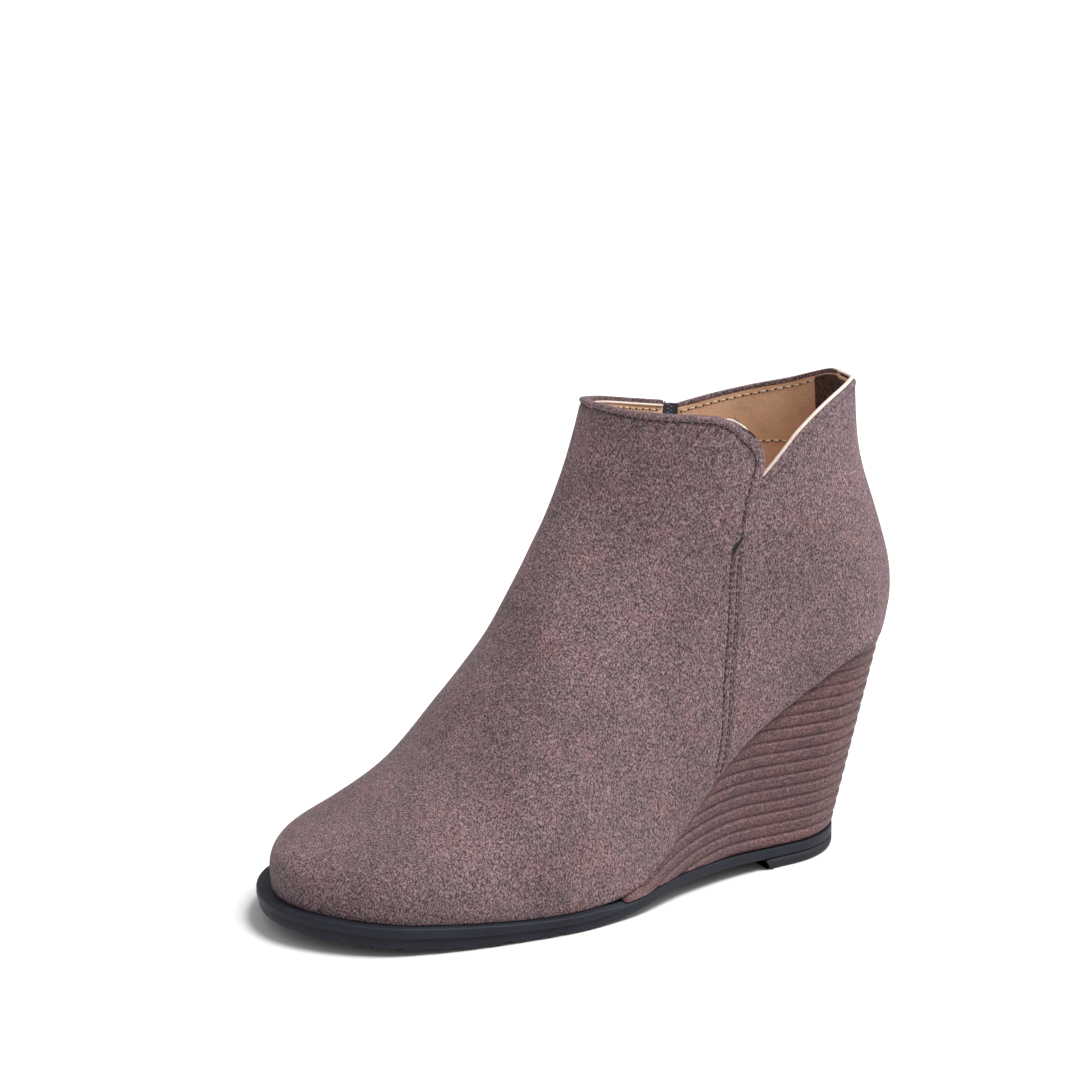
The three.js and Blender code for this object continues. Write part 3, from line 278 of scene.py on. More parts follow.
def last_point(t, angle):
    t, angle = np.broadcast_arrays(np.asarray(t, float), np.asarray(angle, float))
    side = np.where(angle >= 0, OUTER, INNER)
    turn = np.abs(angle)
    wide = feather_share(t, side)
    s = np.clip((1 - wide) * (1 - np.cos(turn)) / 2 + wide * (1 - np.cos(turn / 2)), 0, 1)
    ax, az = front_line(t)
    bx, bz = back_line(t)
    return np.stack([lerp(ax, bx, s), side * half_at(t, s, side), lerp(az, bz, s)], -1)


def last_over(x, z, side):
    def off(t):
        ax, az = front_line(t)
        bx, bz = back_line(t)
        return (bx - ax) * (z - az) - (bz - az) * (x - ax)

    t = bisect(np.zeros_like(x), np.full_like(x, LAST_RIB), off)
    ax, az = front_line(t)
    bx, bz = back_line(t)
    s = np.clip(((x - ax) * (bx - ax) + (z - az) * (bz - az)) / ((bx - ax) ** 2 + (bz - az) ** 2), 0, 1)
    return np.stack([x, side * half_at(t, s, side), z], -1)


def upright(line):
    along = curve(line[1], line[0])
    return lambda z: along((z - HEEL_HEIGHT) / SHAFT_HEIGHT) * LENGTH


def level(line):
    rise = curve(*line)
    return lambda x: seat_z(rise(x / LENGTH))


seam_x = upright(SEAM)
zip_x = upright(ZIP)
front_top = {side: level(FRONT_TOP[side]) for side in (OUTER, INNER)}


def slot_half(z):
    return ZIP_SLOT / 2 * np.clip((z - seat_z(ZIP_FOOT_RISE)) / (ZIP_SLOT / 2), 0, 1)


def zip_front(z):
    return zip_x(z) + slot_half(z)


def zip_back(z):
    return zip_x(z) - slot_half(z)


SEAM_RIB = float(bisect(4, HEEL_RIB, lambda t: back_line(t)[0] - 0.36 * LENGTH))
SEAM_FOOT = float(bottom_z(back_line(SEAM_RIB)[0]))
BACK_RIB = float(bisect(HEEL_RIB, LAST_RIB, lambda t: back_line(t)[1] - seat_z(1)))


# Where a drawn line crosses each rib: lookup of angle by rib and of rib by height.
class Crossing:
    def __init__(self, side, line):
        self.side = side
        self.t = np.linspace(SEAM_RIB, LAST_RIB, 700)

        def off(angle):
            p = last_point(self.t, side * angle)
            return p[:, 0] - line(p[:, 2])

        self.a = bisect(np.full(700, 1e-4), np.full(700, math.pi), off)
        self.a[0] = math.pi
        self.z = np.maximum.accumulate(last_point(self.t, side * self.a)[:, 2] + np.arange(700) * 1e-9)

    def angle(self, t):
        return np.interp(t, self.t, self.a)

    def rib(self, z):
        return np.interp(z, self.z, self.t)

    def point(self, t):
        return last_point(t, self.side * self.angle(t))


seam = Crossing(OUTER, seam_x)
zip_mid = Crossing(INNER, zip_x)
zip_f = Crossing(INNER, zip_front)
zip_b = Crossing(INNER, zip_back)


def top_rib(line, top):
    def off(t):
        p = line.point(t)
        return p[..., 2] - top(p[..., 0])

    return float(bisect(zip_mid.rib(seat_z(ZIP_FOOT_RISE)), LAST_RIB, off))


INNER_TOP = top_rib(zip_f, front_top[INNER])
OUTER_TOP = float(seam.rib(seat_z(CORNER_RISE)))
QUARTER_TOP_RIB = top_rib(zip_b, level(QUARTER_TOP[INNER]))


def outer_rib(v):
    row = v * 20
    low = lerp(SEAM_FOOT, seat_z(NOTCH_RISE), row / 13)
    high = lerp(seat_z(NOTCH_RISE), seat_z(CORNER_RISE), (row - 13) / 7)
    return seam.rib(np.where(row <= 13, low, high))


def inner_rib(v, rows, line, top):
    row = v * rows
    foot = seat_z(ZIP_FOOT_RISE)
    open_z = foot + ZIP_SLOT / 2
    top_z = line.point(top)[..., 2]
    low = zip_mid.rib(lerp(SEAM_FOOT, foot, row / 4))
    mid = lerp(foot, open_z, row - 4)
    high = lerp(open_z, top_z, (row - 5) / (rows - 5))
    return np.where(row <= 4, low, line.rib(np.where(row < 5, mid, high)))


# Front panel over the toe, the instep and up to the collar. Rows run up, columns from the outer to the inner side.
def front_panel(toe_rows, high_rows, shares):
    t = toe_rows[:, None]
    toe = last_point(t, lerp(math.pi, -math.pi, shares)[None, :] + 0 * t)

    def angle(t, share):
        return lerp(seam.angle(t), -zip_f.angle(t), share)

    def off(t):
        a = angle(t, shares)
        p = last_point(t, a)
        return p[:, 2] - np.where(a >= 0, front_top[OUTER](p[:, 0]), front_top[INNER](p[:, 0]))

    tops = bisect(np.full(len(shares), SEAM_RIB), np.full(len(shares), float(LAST_RIB)), off)
    tops[0], tops[-1] = OUTER_TOP, INNER_TOP
    v = high_rows[:, None]
    reach = tops - lerp(OUTER_TOP, INNER_TOP, shares)
    t = lerp(outer_rib(v), inner_rib(v, 20, zip_f, INNER_TOP), shares[None, :]) + reach[None, :] * v
    return np.concatenate([toe, last_point(t, angle(t, shares[None, :]))])


def quarter_half(side, rows, cols):
    v = rows[:, None]
    if side == OUTER:
        edge = seam.point(seam.rib(lerp(SEAM_FOOT, seat_z(NOTCH_RISE), rows)))
        end = seam.point(seam.rib(seat_z(NOTCH_RISE)))
    else:
        edge = zip_b.point(inner_rib(rows, 13, zip_b, QUARTER_TOP_RIB))
        end = zip_b.point(QUARTER_TOP_RIB)
    foot = np.array([seam.point(SEAM_RIB)[0], SEAM_FOOT])
    along, rise = QUARTER_TOP[side]
    heel = np.array([back_line(HEEL_RIB)[0], back_line(HEEL_RIB)[1]], float)
    back_top = np.array([back_line(BACK_RIB)[0], back_line(BACK_RIB)[1]], float)
    along = np.append(along, back_top[0] / LENGTH)
    rise = np.append(rise, 1)
    k = cols * (len(along) - 1)
    top = np.stack([curve(np.arange(len(along)), along)(k) * LENGTH, seat_z(curve(np.arange(len(rise)), rise)(k))], -1)
    back_t = bisect(
        np.full(len(rows), float(HEEL_RIB)),
        np.full(len(rows), BACK_RIB),
        lambda t: back_line(t)[1] - lerp(heel[1], seat_z(1), rows),
    )
    back = np.stack(back_line(back_t), -1)
    foot_x = lerp(foot[0], heel[0], cols)
    flat = np.stack([foot_x, bottom_z(foot_x)], -1)
    c = cols[None, :, None]
    v = v[:, :, None]
    place = (
        (1 - v) * flat[None]
        + v * top[None]
        + (1 - c) * edge[:, None, [0, 2]]
        + c * back[:, None, :]
        - (1 - v) * ((1 - c) * foot + c * heel)
        - v * ((1 - c) * end[[0, 2]] + c * back_top)
    )
    points = last_over(place[..., 0], place[..., 1], side)
    points[:, 0] = edge
    points[:, -1] = np.stack([back[:, 0], 0 * rows, back[:, 1]], -1)
    points[0, :, 1] = side * feather_half(foot_x, side)
    points[0, :, 2] = bottom_z(foot_x)
    return points


# Normals of a grid of points, turned away from the inside of the last.
def grid_normals(p):
    du = np.gradient(p, axis=1)
    dv = np.gradient(p, axis=0)
    n = np.cross(du, dv)
    n /= np.maximum(np.linalg.norm(n, axis=-1, keepdims=True), 1e-9)
    core = p.copy()
    core[..., 1] = 0
    core[..., 0] = np.minimum(p[..., 0] - 4, 150)
    core[..., 0] = np.where(p[..., 0] < 40, 45, core[..., 0])
    core[..., 2] -= np.where(p[..., 0] > 100, 10, 0)
    flip = ((p - core) * n).sum(-1) < 0
    n[flip] *= -1
    return n


def moved(p, n, lift):
    q = p + n * np.asarray(lift)[..., None] if np.ndim(lift) else p + n * lift
    low = np.abs(p[..., 2] - bottom_z(p[..., 0])) < 0.02
    if low.any():
        flat = n[low] * [1, 1, 0]
        flat /= np.maximum(np.linalg.norm(flat, axis=-1, keepdims=True), 1e-9)
        amount = np.broadcast_to(lift, p.shape[:-1])[low][:, None]
        spot = p[low] + flat * amount
        spot[:, 2] = bottom_z(spot[:, 0])
        q[low] = spot
    return q


# Distance from points to a polyline, and the place along it.
def away(points, line):
    seg = np.diff(line, axis=0)
    run = np.concatenate([[0], np.cumsum(np.linalg.norm(seg, axis=1))])
    n = max(2, int(run[-1] / 0.4))
    s = np.linspace(0, run[-1], n)
    fine = np.stack([np.interp(s, run, line[:, k]) for k in range(3)], -1)
    flat = points.reshape(-1, 3)
    d = np.empty(len(flat))
    place = np.empty(len(flat))
    for i in range(0, len(flat), 6000):
        q = flat[i:i + 6000]
        d2 = (q**2).sum(1)[:, None] + (fine**2).sum(1)[None] - 2 * q @ fine.T
        j = d2.argmin(1)
        best = np.full(len(q), np.inf)
        spot = np.zeros(len(q))
        for a in (np.clip(j - 1, 0, n - 2), np.clip(j, 0, n - 2)):
            e = fine[a + 1] - fine[a]
            k = np.clip(((q - fine[a]) * e).sum(1) / (e**2).sum(1), 0, 1)
            g = np.linalg.norm(q - fine[a] - e * k[:, None], axis=1)
            better = g < best
            best = np.where(better, g, best)
            spot = np.where(better, s[a] + k * (s[1] - s[0]), spot)
        d[i:i + 6000] = best
        place[i:i + 6000] = spot
    return d.reshape(points.shape[:-1]), place.reshape(points.shape[:-1])


def resample(line, step):
    run = np.concatenate([[0], np.cumsum(np.linalg.norm(np.diff(line, axis=0), axis=1))])
    n = max(2, int(round(run[-1] / step)) + 1)
    s = np.linspace(0, run[-1], n)
    return np.stack([np.interp(s, run, line[:, k]) for k in range(3)], -1)


# Blender objects
MATERIALS = {}


def build(name, points, faces, material, slot, body="boot", smooth=True, replaces=(), merge=True):
    mesh = bpy.data.meshes.new(name)
    world = (np.asarray(points, float) - [ORIGIN_X, 0, 0]) / 1000
    mesh.from_pydata(world.tolist(), [], [list(map(int, f)) for f in faces])
    if merge:
        bm = bmesh.new()
        bm.from_mesh(mesh)
        bmesh.ops.remove_doubles(bm, verts=bm.verts, dist=2e-6)
        bmesh.ops.dissolve_degenerate(bm, edges=bm.edges, dist=1e-6)
        bmesh.ops.recalc_face_normals(bm, faces=bm.faces)
        bm.to_mesh(mesh)
        bm.free()
    mesh.polygons.foreach_set("use_smooth", [smooth] * len(mesh.polygons))
    obj = bpy.data.objects.new(name, mesh)
    bpy.context.scene.collection.objects.link(obj)
    obj.data.materials.append(MATERIALS[material])
    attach(obj, body)
    if replaces:
        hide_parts(*replaces)
    return obj


def grid_faces(rows, cols, start=0):
    ids = np.arange(rows * cols).reshape(rows, cols) + start
    return np.stack([ids[:-1, :-1], ids[:-1, 1:], ids[1:, 1:], ids[1:, :-1]], -1).reshape(-1, 4)


# Closed sheet between two grids of equal size.
def slab(outer, inner):
    rows, cols = outer.shape[:2]
    n = rows * cols
    ids = np.arange(n).reshape(rows, cols)
    top = grid_faces(rows, cols)
    ring = np.concatenate([ids[0, :-1], ids[:-1, -1], ids[-1, :0:-1], ids[:0:-1, 0]])
    nxt = np.roll(ring, -1)
    side = np.stack([nxt, ring, ring + n, nxt + n], -1)
    return np.concatenate([outer.reshape(-1, 3), inner.reshape(-1, 3)]), np.concatenate([top, top[:, ::-1] + n, side])


# Tube of an elliptic section along a line, with its own frame at each point.
def bead(line, across, down, rx, ry, sides=14, closed=False):
    turn = np.linspace(0, 2 * math.pi, sides, endpoint=False)
    rings = (
        line[:, None]
        + across[:, None] * (np.cos(turn) * rx)[None, :, None]
        + down[:, None] * (np.sin(turn) * ry)[None, :, None]
    )
    n = len(line)
    faces = []
    for k in range(n if closed else n - 1):
        a = k * sides + np.arange(sides)
        b = k * sides + (np.arange(sides) + 1) % sides
        m = ((k + 1) % n) * sides - k * sides
        faces.append(np.stack([a, b, b + m, a + m], -1))
    faces = [list(f) for f in np.concatenate(faces)]
    if not closed:
        faces.append(list(range(sides - 1, -1, -1)))
        faces.append(list(range((n - 1) * sides, n * sides)))
    return rings.reshape(-1, 3), faces


# Short bent threads: middle, direction along, direction out.
def threads(places, along, out, length, radius, sink):
    sides, steps = 6, 5
    k = np.linspace(-1, 1, steps)
    wide = radius * np.sqrt(np.clip(1 - k**2 * 0.92, 0, 1))
    turn = np.linspace(0, 2 * math.pi, sides, endpoint=False)
    points, faces = [], []
    for i, (p, a, o) in enumerate(zip(places, along, out)):
        c = np.cross(a, o)
        start = i * sides * steps
        spine = p + a * (k * length / 2)[:, None] + o * (-sink * k**2)[:, None]
        ring = spine[:, None] + (np.cos(turn)[None, :, None] * c + np.sin(turn)[None, :, None] * o) * wide[:, None, None]
        points.append(ring.reshape(-1, 3))
        for j in range(steps - 1):
            for s in range(sides):
                q = start + j * sides
                faces.append([q + s, q + (s + 1) % sides, q + sides + (s + 1) % sides, q + sides + s])
        faces.append([start + s for s in range(sides - 1, -1, -1)])
        faces.append([start + (steps - 1) * sides + s for s in range(sides)])
    return np.concatenate(points), faces


def unit(v):
    return v / np.maximum(np.linalg.norm(v, axis=-1, keepdims=True), 1e-9)


# Places of stitches at a distance from a panel's edge, on the panel's own surface.
def stitch_row(line, surface, normals, distance, pitch, lift, start=0.0, end=None):
    d, s = away(surface, line)
    inward = distance if callable(distance) else lambda stop: distance
    near = np.abs(d - inward(s)) < 2.2
    p, n, s = surface[near], normals[near], s[near]
    length = np.linalg.norm(np.diff(line, axis=0), axis=1).sum()
    end = length if end is None else end
    fine = resample(line, 0.5)
    run = np.linspace(0, length, len(fine))
    tangent = unit(np.gradient(fine, axis=0))
    stops = np.arange(start + pitch / 2, end, pitch)
    places, along, out = [], [], []
    for stop in stops:
        e = np.array([np.interp(stop, run, fine[:, k]) for k in range(3)])
        t = unit(np.array([np.interp(stop, run, tangent[:, k]) for k in range(3)]))
        j = np.argmin(np.linalg.norm(p - e, axis=1))
        w = unit(np.cross(n[j], t))
        if ((p[np.linalg.norm(p - e, axis=1) < 5].mean(0) - e) * w).sum() < 0:
            w = -w
        guess = e + w * inward(stop)
        j = np.argmin(np.linalg.norm(p - guess, axis=1))
        guess = guess - n[j] * ((guess - p[j]) * n[j]).sum()
        off_line = np.linalg.norm(fine - guess, axis=1).min()
        if np.linalg.norm(guess - p[j]) > 1.3 or abs(off_line - inward(stop)) > 0.5:
            continue
        places.append(guess + n[j] * lift)
        along.append(unit(t - n[j] * (t * n[j]).sum()))
        out.append(n[j])
    return np.array(places), np.array(along), np.array(out)


# Materials
def tree(name):
    mat = bpy.data.materials.new(name)
    mat.use_nodes = True
    MATERIALS[name] = mat
    return mat.node_tree, mat.node_tree.nodes["Principled BSDF"]


def node(nt, kind, **values):
    n = nt.nodes.new(kind)
    for key, value in values.items():
        if key in n.inputs:
            n.inputs[key].default_value = value
        else:
            setattr(n, key, value)
    return n


def place(nt, scale=(1, 1, 1), turn=(0, 0, 0)):
    coords = nt.nodes.new("ShaderNodeTexCoord")
    m = nt.nodes.new("ShaderNodeMapping")
    m.inputs["Scale"].default_value = scale
    m.inputs["Rotation"].default_value = turn
    nt.links.new(coords.outputs["Object"], m.inputs["Vector"])
    return m.outputs["Vector"]


def noise(nt, vector, scale, detail=2.0, rough=0.5, warp=0.0):
    n = nt.nodes.new("ShaderNodeTexNoise")
    n.inputs["Scale"].default_value = scale
    n.inputs["Detail"].default_value = detail
    n.inputs["Roughness"].default_value = rough
    n.inputs["Distortion"].default_value = warp
    nt.links.new(vector, n.inputs["Vector"])
    return n.outputs["Fac"]


def ramp(nt, fac, stops):
    r = nt.nodes.new("ShaderNodeValToRGB")
    e = r.color_ramp.elements
    while len(e) < len(stops):
        e.new(0.5)
    for item, (pos, col) in zip(e, stops):
        item.position = pos
        item.color = (*col, 1) if len(col) == 3 else col
    nt.links.new(fac, r.inputs["Fac"])
    return r.outputs["Color"]


def mix(nt, fac, a, b, blend="MIX"):
    m = nt.nodes.new("ShaderNodeMix")
    m.data_type = "RGBA"
    m.blend_type = blend
    for socket, value in (("Factor", fac), ("A", a), ("B", b)):
        target = next(i for i in m.inputs if i.name == socket and (socket == "Factor" or i.type == "RGBA"))
        if hasattr(value, "links"):
            nt.links.new(value, target)
        else:
            target.default_value = value if socket == "Factor" else (*value, 1)
    return next(o for o in m.outputs if o.type == "RGBA")


def bump(nt, height, strength, distance, normal=None):
    b = nt.nodes.new("ShaderNodeBump")
    b.inputs["Strength"].default_value = strength
    b.inputs["Distance"].default_value = distance
    nt.links.new(height, b.inputs["Height"])
    if normal is not None:
        nt.links.new(normal, b.inputs["Normal"])
    return b.outputs["Normal"]


def grey(v):
    return (v, v, v)


def scaled(colour, k):
    return tuple(min(1.0, c * k) for c in colour)


def suede(name, base, red, speckle=1.0):
    nt, shader = tree(name)
    plain = place(nt)
    streak = place(nt, scale=(1.0, 1.0, 0.62), turn=(0.2, 0.55, 0.3))
    fine = noise(nt, streak, 1950, 4, 0.7)
    coarse = noise(nt, plain, 420, 3, 0.55)
    cloud = noise(nt, plain, 75, 4, 0.6, 0.6)
    wide = noise(nt, plain, 24, 3, 0.5, 0.4)
    tone = ramp(nt, fine, [(0.38, scaled(base, 0.27)), (0.5, base), (0.62, scaled(base, 2.4))])
    tone = mix(nt, 0.3 * speckle, tone, ramp(nt, coarse, [(0.36, grey(0.6)), (0.5, grey(1.0)), (0.66, grey(1.4))]),
               "MULTIPLY")
    tint = ramp(nt, cloud, [(0.38, (0.93, 0.94, 0.96)), (0.5, grey(1.0)), (0.62, red)])
    tone = mix(nt, 1.0, tone, tint, "MULTIPLY")
    shade = ramp(nt, wide, [(0.34, grey(0.88)), (0.5, grey(1.0)), (0.66, grey(1.1))])
    tone = mix(nt, 1.0, tone, shade, "MULTIPLY")
    nt.links.new(tone, shader.inputs["Base Color"])
    rough = ramp(nt, coarse, [(0.3, grey(0.86)), (0.7, grey(1.0))])
    nt.links.new(rough, shader.inputs["Roughness"])
    shader.inputs["Specular IOR Level"].default_value = 0.2
    shader.inputs["Sheen Weight"].default_value = 0.1
    shader.inputs["Sheen Roughness"].default_value = 0.4
    shader.inputs["Sheen Tint"].default_value = (0.9, 0.7, 0.72, 1)
    low = bump(nt, coarse, 0.35, 0.0006)
    nt.links.new(bump(nt, fine, 0.55, 0.00035, low), shader.inputs["Normal"])


def wood(name, base):
    nt, shader = tree(name)
    plain = place(nt)
    along = place(nt, scale=(0.5, 0.5, 1.0))
    grain = noise(nt, along, 1100, 3, 0.6)
    fine = noise(nt, plain, 1500, 3, 0.65)
    cloud = noise(nt, along, 90, 3, 0.55, 0.4)
    tone = ramp(nt, fine, [(0.37, scaled(base, 0.4)), (0.5, base), (0.63, scaled(base, 1.95))])
    tone = mix(nt, 0.7, tone, ramp(nt, grain, [(0.36, grey(0.62)), (0.64, grey(1.42))]), "MULTIPLY")
    tone = mix(nt, 1.0, tone, ramp(nt, cloud, [(0.36, (0.9, 0.9, 0.94)), (0.64, (1.14, 1.06, 1.04))]), "MULTIPLY")
    nt.links.new(tone, shader.inputs["Base Color"])
    nt.links.new(ramp(nt, grain, [(0.3, grey(0.5)), (0.7, grey(0.68))]), shader.inputs["Roughness"])
    shader.inputs["Specular IOR Level"].default_value = 0.42
    low = bump(nt, grain, 0.3, 0.0004)
    nt.links.new(bump(nt, fine, 0.3, 0.0002, low), shader.inputs["Normal"])


def rubber(name, base, rough):
    nt, shader = tree(name)
    plain = place(nt)
    fine = noise(nt, plain, 1100, 3, 0.6)
    cloud = noise(nt, plain, 90, 3, 0.5)
    tone = ramp(nt, cloud, [(0.3, scaled(base, 0.8)), (0.7, scaled(base, 1.25))])
    tone = mix(nt, 0.5, tone, ramp(nt, fine, [(0.35, grey(0.75)), (0.65, grey(1.25))]), "MULTIPLY")
    nt.links.new(tone, shader.inputs["Base Color"])
    nt.links.new(ramp(nt, fine, [(0.3, grey(rough - 0.08)), (0.7, grey(rough + 0.08))]), shader.inputs["Roughness"])
    shader.inputs["Specular IOR Level"].default_value = 0.3
    nt.links.new(bump(nt, fine, 0.3, 0.0002), shader.inputs["Normal"])


def satin(name, base, dark, rough=0.55, sheen=0.2):
    nt, shader = tree(name)
    plain = place(nt)
    weave = noise(nt, place(nt, scale=(1, 1, 0.4)), 2400, 2, 0.5)
    cloud = noise(nt, plain, 70, 4, 0.6, 0.5)
    tone = ramp(nt, cloud, [(0.32, dark), (0.55, base), (0.75, scaled(base, 1.12))])
    tone = mix(nt, 0.4, tone, ramp(nt, weave, [(0.3, grey(0.75)), (0.7, grey(1.25))]), "MULTIPLY")
    nt.links.new(tone, shader.inputs["Base Color"])
    nt.links.new(ramp(nt, weave, [(0.3, grey(rough - 0.08)), (0.7, grey(rough + 0.1))]), shader.inputs["Roughness"])
    shader.inputs["Sheen Weight"].default_value = sheen
    low = bump(nt, cloud, 0.25, 0.0015)
    nt.links.new(bump(nt, weave, 0.25, 0.0002, low), shader.inputs["Normal"])


def metal(name, base, metallic, rough, coat=0.0):
    nt, shader = tree(name)
    plain = place(nt)
    fine = noise(nt, plain, 1600, 2, 0.5)
    cloud = noise(nt, plain, 240, 3, 0.6)
    nt.links.new(ramp(nt, cloud, [(0.3, scaled(base, 0.8)), (0.7, scaled(base, 1.2))]), shader.inputs["Base Color"])
    nt.links.new(ramp(nt, fine, [(0.3, grey(rough - 0.05)), (0.7, grey(rough + 0.08))]), shader.inputs["Roughness"])
    shader.inputs["Metallic"].default_value = metallic
    shader.inputs["Coat Weight"].default_value = coat
    nt.links.new(bump(nt, fine, 0.12, 0.0001), shader.inputs["Normal"])


suede("suede", (0.143, 0.098, 0.104), (1.1, 1.0, 0.98))
suede("suede_edge", (0.095, 0.066, 0.074), (1.06, 1.0, 1.0), 0.7)
suede("patch_suede", (0.080, 0.046, 0.038), (1.06, 1.0, 1.0), 0.7)
wood("wedge_cover", (0.092, 0.044, 0.046))
rubber("sole_rubber", (0.0095, 0.0108, 0.0195), 0.62)
rubber("rim_rubber", (0.016, 0.018, 0.028), 0.58)
rubber("pad_rubber", (0.010, 0.0115, 0.018), 0.66)
satin("lining", (0.76, 0.48, 0.31), (0.64, 0.39, 0.24))
satin("binding", (0.78, 0.66, 0.58), (0.66, 0.52, 0.44), 0.5, 0.1)
satin("thread", (0.020, 0.013, 0.016), (0.013, 0.009, 0.011), 0.7, 0.0)
satin("pale_thread", (0.62, 0.50, 0.38), (0.5, 0.38, 0.28), 0.6, 0.1)
satin("tape", (0.022, 0.022, 0.034), (0.014, 0.014, 0.022), 0.75, 0.2)
# Zip coil: its own dark navy made lighter, partly painted glint standing in for the coil's highlights
satin("coil", (0.10, 0.10, 0.14), (0.05, 0.05, 0.08), 0.35, 0.0)
metal("slider_metal", (0.10, 0.085, 0.09), 0.85, 0.34)
metal("pull_paint", (0.235, 0.15, 0.165), 0.35, 0.36, 0.25)

NEAR_ROW = 0.9
FAR_ROW = 3.5
# Front panel, with close rows and columns next to its edges
near = np.array([0, 0.25, 0.5, 0.8, 1.1, 1.4, 1.7, 2.0, 2.3, 2.6, 2.9, 3.2, 3.5, 3.8, 4.1, 4.5, 5.1, 6.0])
steps = np.concatenate([near, np.arange(7.2, 62, 1.35)])
half_share = np.append(steps[steps < 60.0], 60.0) / 120
shares = np.concatenate([half_share, 1 - half_share[-2::-1]])
toe_t = np.linspace(0, SEAM_RIB, 3000)
ridge = last_point(toe_t, 0 * toe_t)
flank = last_point(toe_t, 0 * toe_t + 2.0)
run = np.concatenate([[0], np.cumsum(np.maximum(
    np.linalg.norm(np.diff(ridge, axis=0), axis=1), np.linalg.norm(np.diff(flank, axis=0), axis=1)))])
toe_rows = np.interp(np.linspace(0, run[-1], int(run[-1] / 1.3)), run, toe_t)
high = np.concatenate([near, np.arange(7.2, 136, 1.35)])
high_rows = (1 - high / 137)[::-1]
high_rows = high_rows[high_rows > 0.004]
front = front_panel(toe_rows, high_rows, shares)
first = len(toe_rows) - 1


# A grid with small creases between its rows evened out, as far as the weight allows
def evened(grid, weight, rounds):
    grid = grid.copy()
    for _ in range(rounds):
        grid[1:-1] += weight[1:-1, :, None] * ((grid[:-2] + grid[2:]) / 2 - grid[1:-1])
    return grid


row_at = np.arange(len(front))[:, None]
from_side = 120 * np.minimum(shares, 1 - shares)[None, :]
weight = np.clip((row_at - first + 22) / 8, 0, 1) * np.clip((len(front) - 20 - row_at) / 8, 0, 1)
weight = 0.5 * weight * np.maximum(np.clip((from_side - 4) / 16, 0, 1), np.clip((row_at - first - 3) / 5, 0, 1))
front = evened(front, weight, 30)
front_n = grid_normals(front)
front_n[0] = (1, 0, 0)
seam_edge = front[first:, 0]
top_edge = front[-1]
zip_edge = front[first:, -1]
free_edge = np.concatenate([seam_edge, top_edge[1:]])
d_free, s_free = away(front, free_edge)
d_zip, s_zip = away(front, zip_edge)
seam_run = np.linalg.norm(np.diff(seam_edge, axis=0), axis=1).sum()
tack = np.concatenate([[0], np.cumsum(np.linalg.norm(np.diff(seam_edge, axis=0), axis=1))])
tack_at = float(np.interp(seat_z(0.515), seam_edge[:, 2], tack))
rolled = ease((s_free - tack_at) / 6)


# Distance of the stitched groove from the rolled edge
def groove_in(s):
    return np.interp(s, [tack_at, tack_at + 6, tack_at + 14, seam_run, seam_run + 9, seam_run + 22],
                     [1.5, 2.7, 3.6, 4.1, 3.1, 2.2])


edge_round = np.where(rolled > 0.02, lerp(0.5, 0.9, rolled), 0.5)
fall = np.clip(1 - d_free / edge_round, 0, 1)
lift = lerp(0.3, 0.8, rolled * (1 - ease((d_free - 6) / 24))) - 0.62 * (1 - np.sqrt(1 - fall**2 * 0.98))
groove = groove_in(s_free)
lift += rolled * (0.5 * np.sin(np.pi * np.clip(d_free / groove, 0, 1)) ** 0.8 - 0.62 * bell(d_free, groove, 0.5))
lift -= (1 - rolled) * (0.4 * bell(d_free, NEAR_ROW, 0.5) + 0.4 * bell(d_free, FAR_ROW, 0.5))
lift += (1 - rolled) * 0.18 * bell(d_free, (NEAR_ROW + FAR_ROW) / 2, 0.9)
fall = np.clip(1 - d_zip / 0.8, 0, 1)
on_zip = (np.arange(len(front))[:, None] >= first) & (d_zip < 12)
lift = np.where(on_zip, lift - 0.6 * (1 - np.sqrt(1 - fall**2 * 0.98)), lift)
lift -= np.where(on_zip, 0.12 * bell(d_zip, 1.6, 0.45) + 0.12 * bell(d_zip, 4.7, 0.45), 0)
front_skin = moved(front, front_n, lift)
d_foot = np.minimum(away(front, front[:first + 1, 0])[0], away(front, front[:first + 1, -1])[0])
fold = -0.75 - 1.35 * np.maximum(rolled * np.clip((2.1 - d_free) / 0.7, 0, 1), np.clip((2.1 - d_foot) / 0.7, 0, 1))
build("front_suede", *slab(front_skin, moved(front, front_n, fold)), "suede", "suede", replaces=["upper"])

# Quarter, both halves as one sheet; its top stops short of the pale binding
CUT = 0.9
along_rows = np.concatenate([near, np.arange(7.2, 94, 1.35)])
rows = (1 - along_rows / 95)[::-1]
rows = np.append(0, rows[rows > 0.006])
cols = np.sin(np.linspace(0, math.pi / 2, 62))


def quarter(rows, cols):
    outer = quarter_half(OUTER, rows, cols)
    inner = quarter_half(INNER, rows, cols)
    return np.concatenate([outer, inner[:, -2::-1]], axis=1)


quarter_full = quarter(rows, cols)
collar_q = quarter_full[-1]
quarter_p = np.concatenate([quarter_half(OUTER, rows * (1 - CUT / 92), cols),
                            quarter_half(INNER, rows, cols)[:, -2::-1]], axis=1)
row_at = np.arange(len(quarter_p))[:, None]
weight = 0.5 * np.clip(row_at / 6, 0, 1) * np.clip((len(quarter_p) - 20 - row_at) / 8, 0, 1)
quarter_p = evened(quarter_p, weight + np.zeros(quarter_p.shape[:2]), 30)
shift = np.stack([np.interp(quarter_p[:, 0, 2], seam_edge[:, 2], seam_edge[:, k]) for k in range(3)], -1) - quarter_p[:, 0]
shift *= (quarter_p[:, :1, 2] > seam_edge[0, 2] + 1)
quarter_p[:, :14] += shift[:, None] * (1 - np.arange(14) / 14)[None, :, None]
quarter_n = grid_normals(quarter_p)
d_top, s_top = away(quarter_p, collar_q)
d_base = away(quarter_p, quarter_p[0])[0]
mid = len(cols) - 1
back_gap = np.abs(quarter_p[..., 1])
on_back = quarter_p[..., 0] < 60
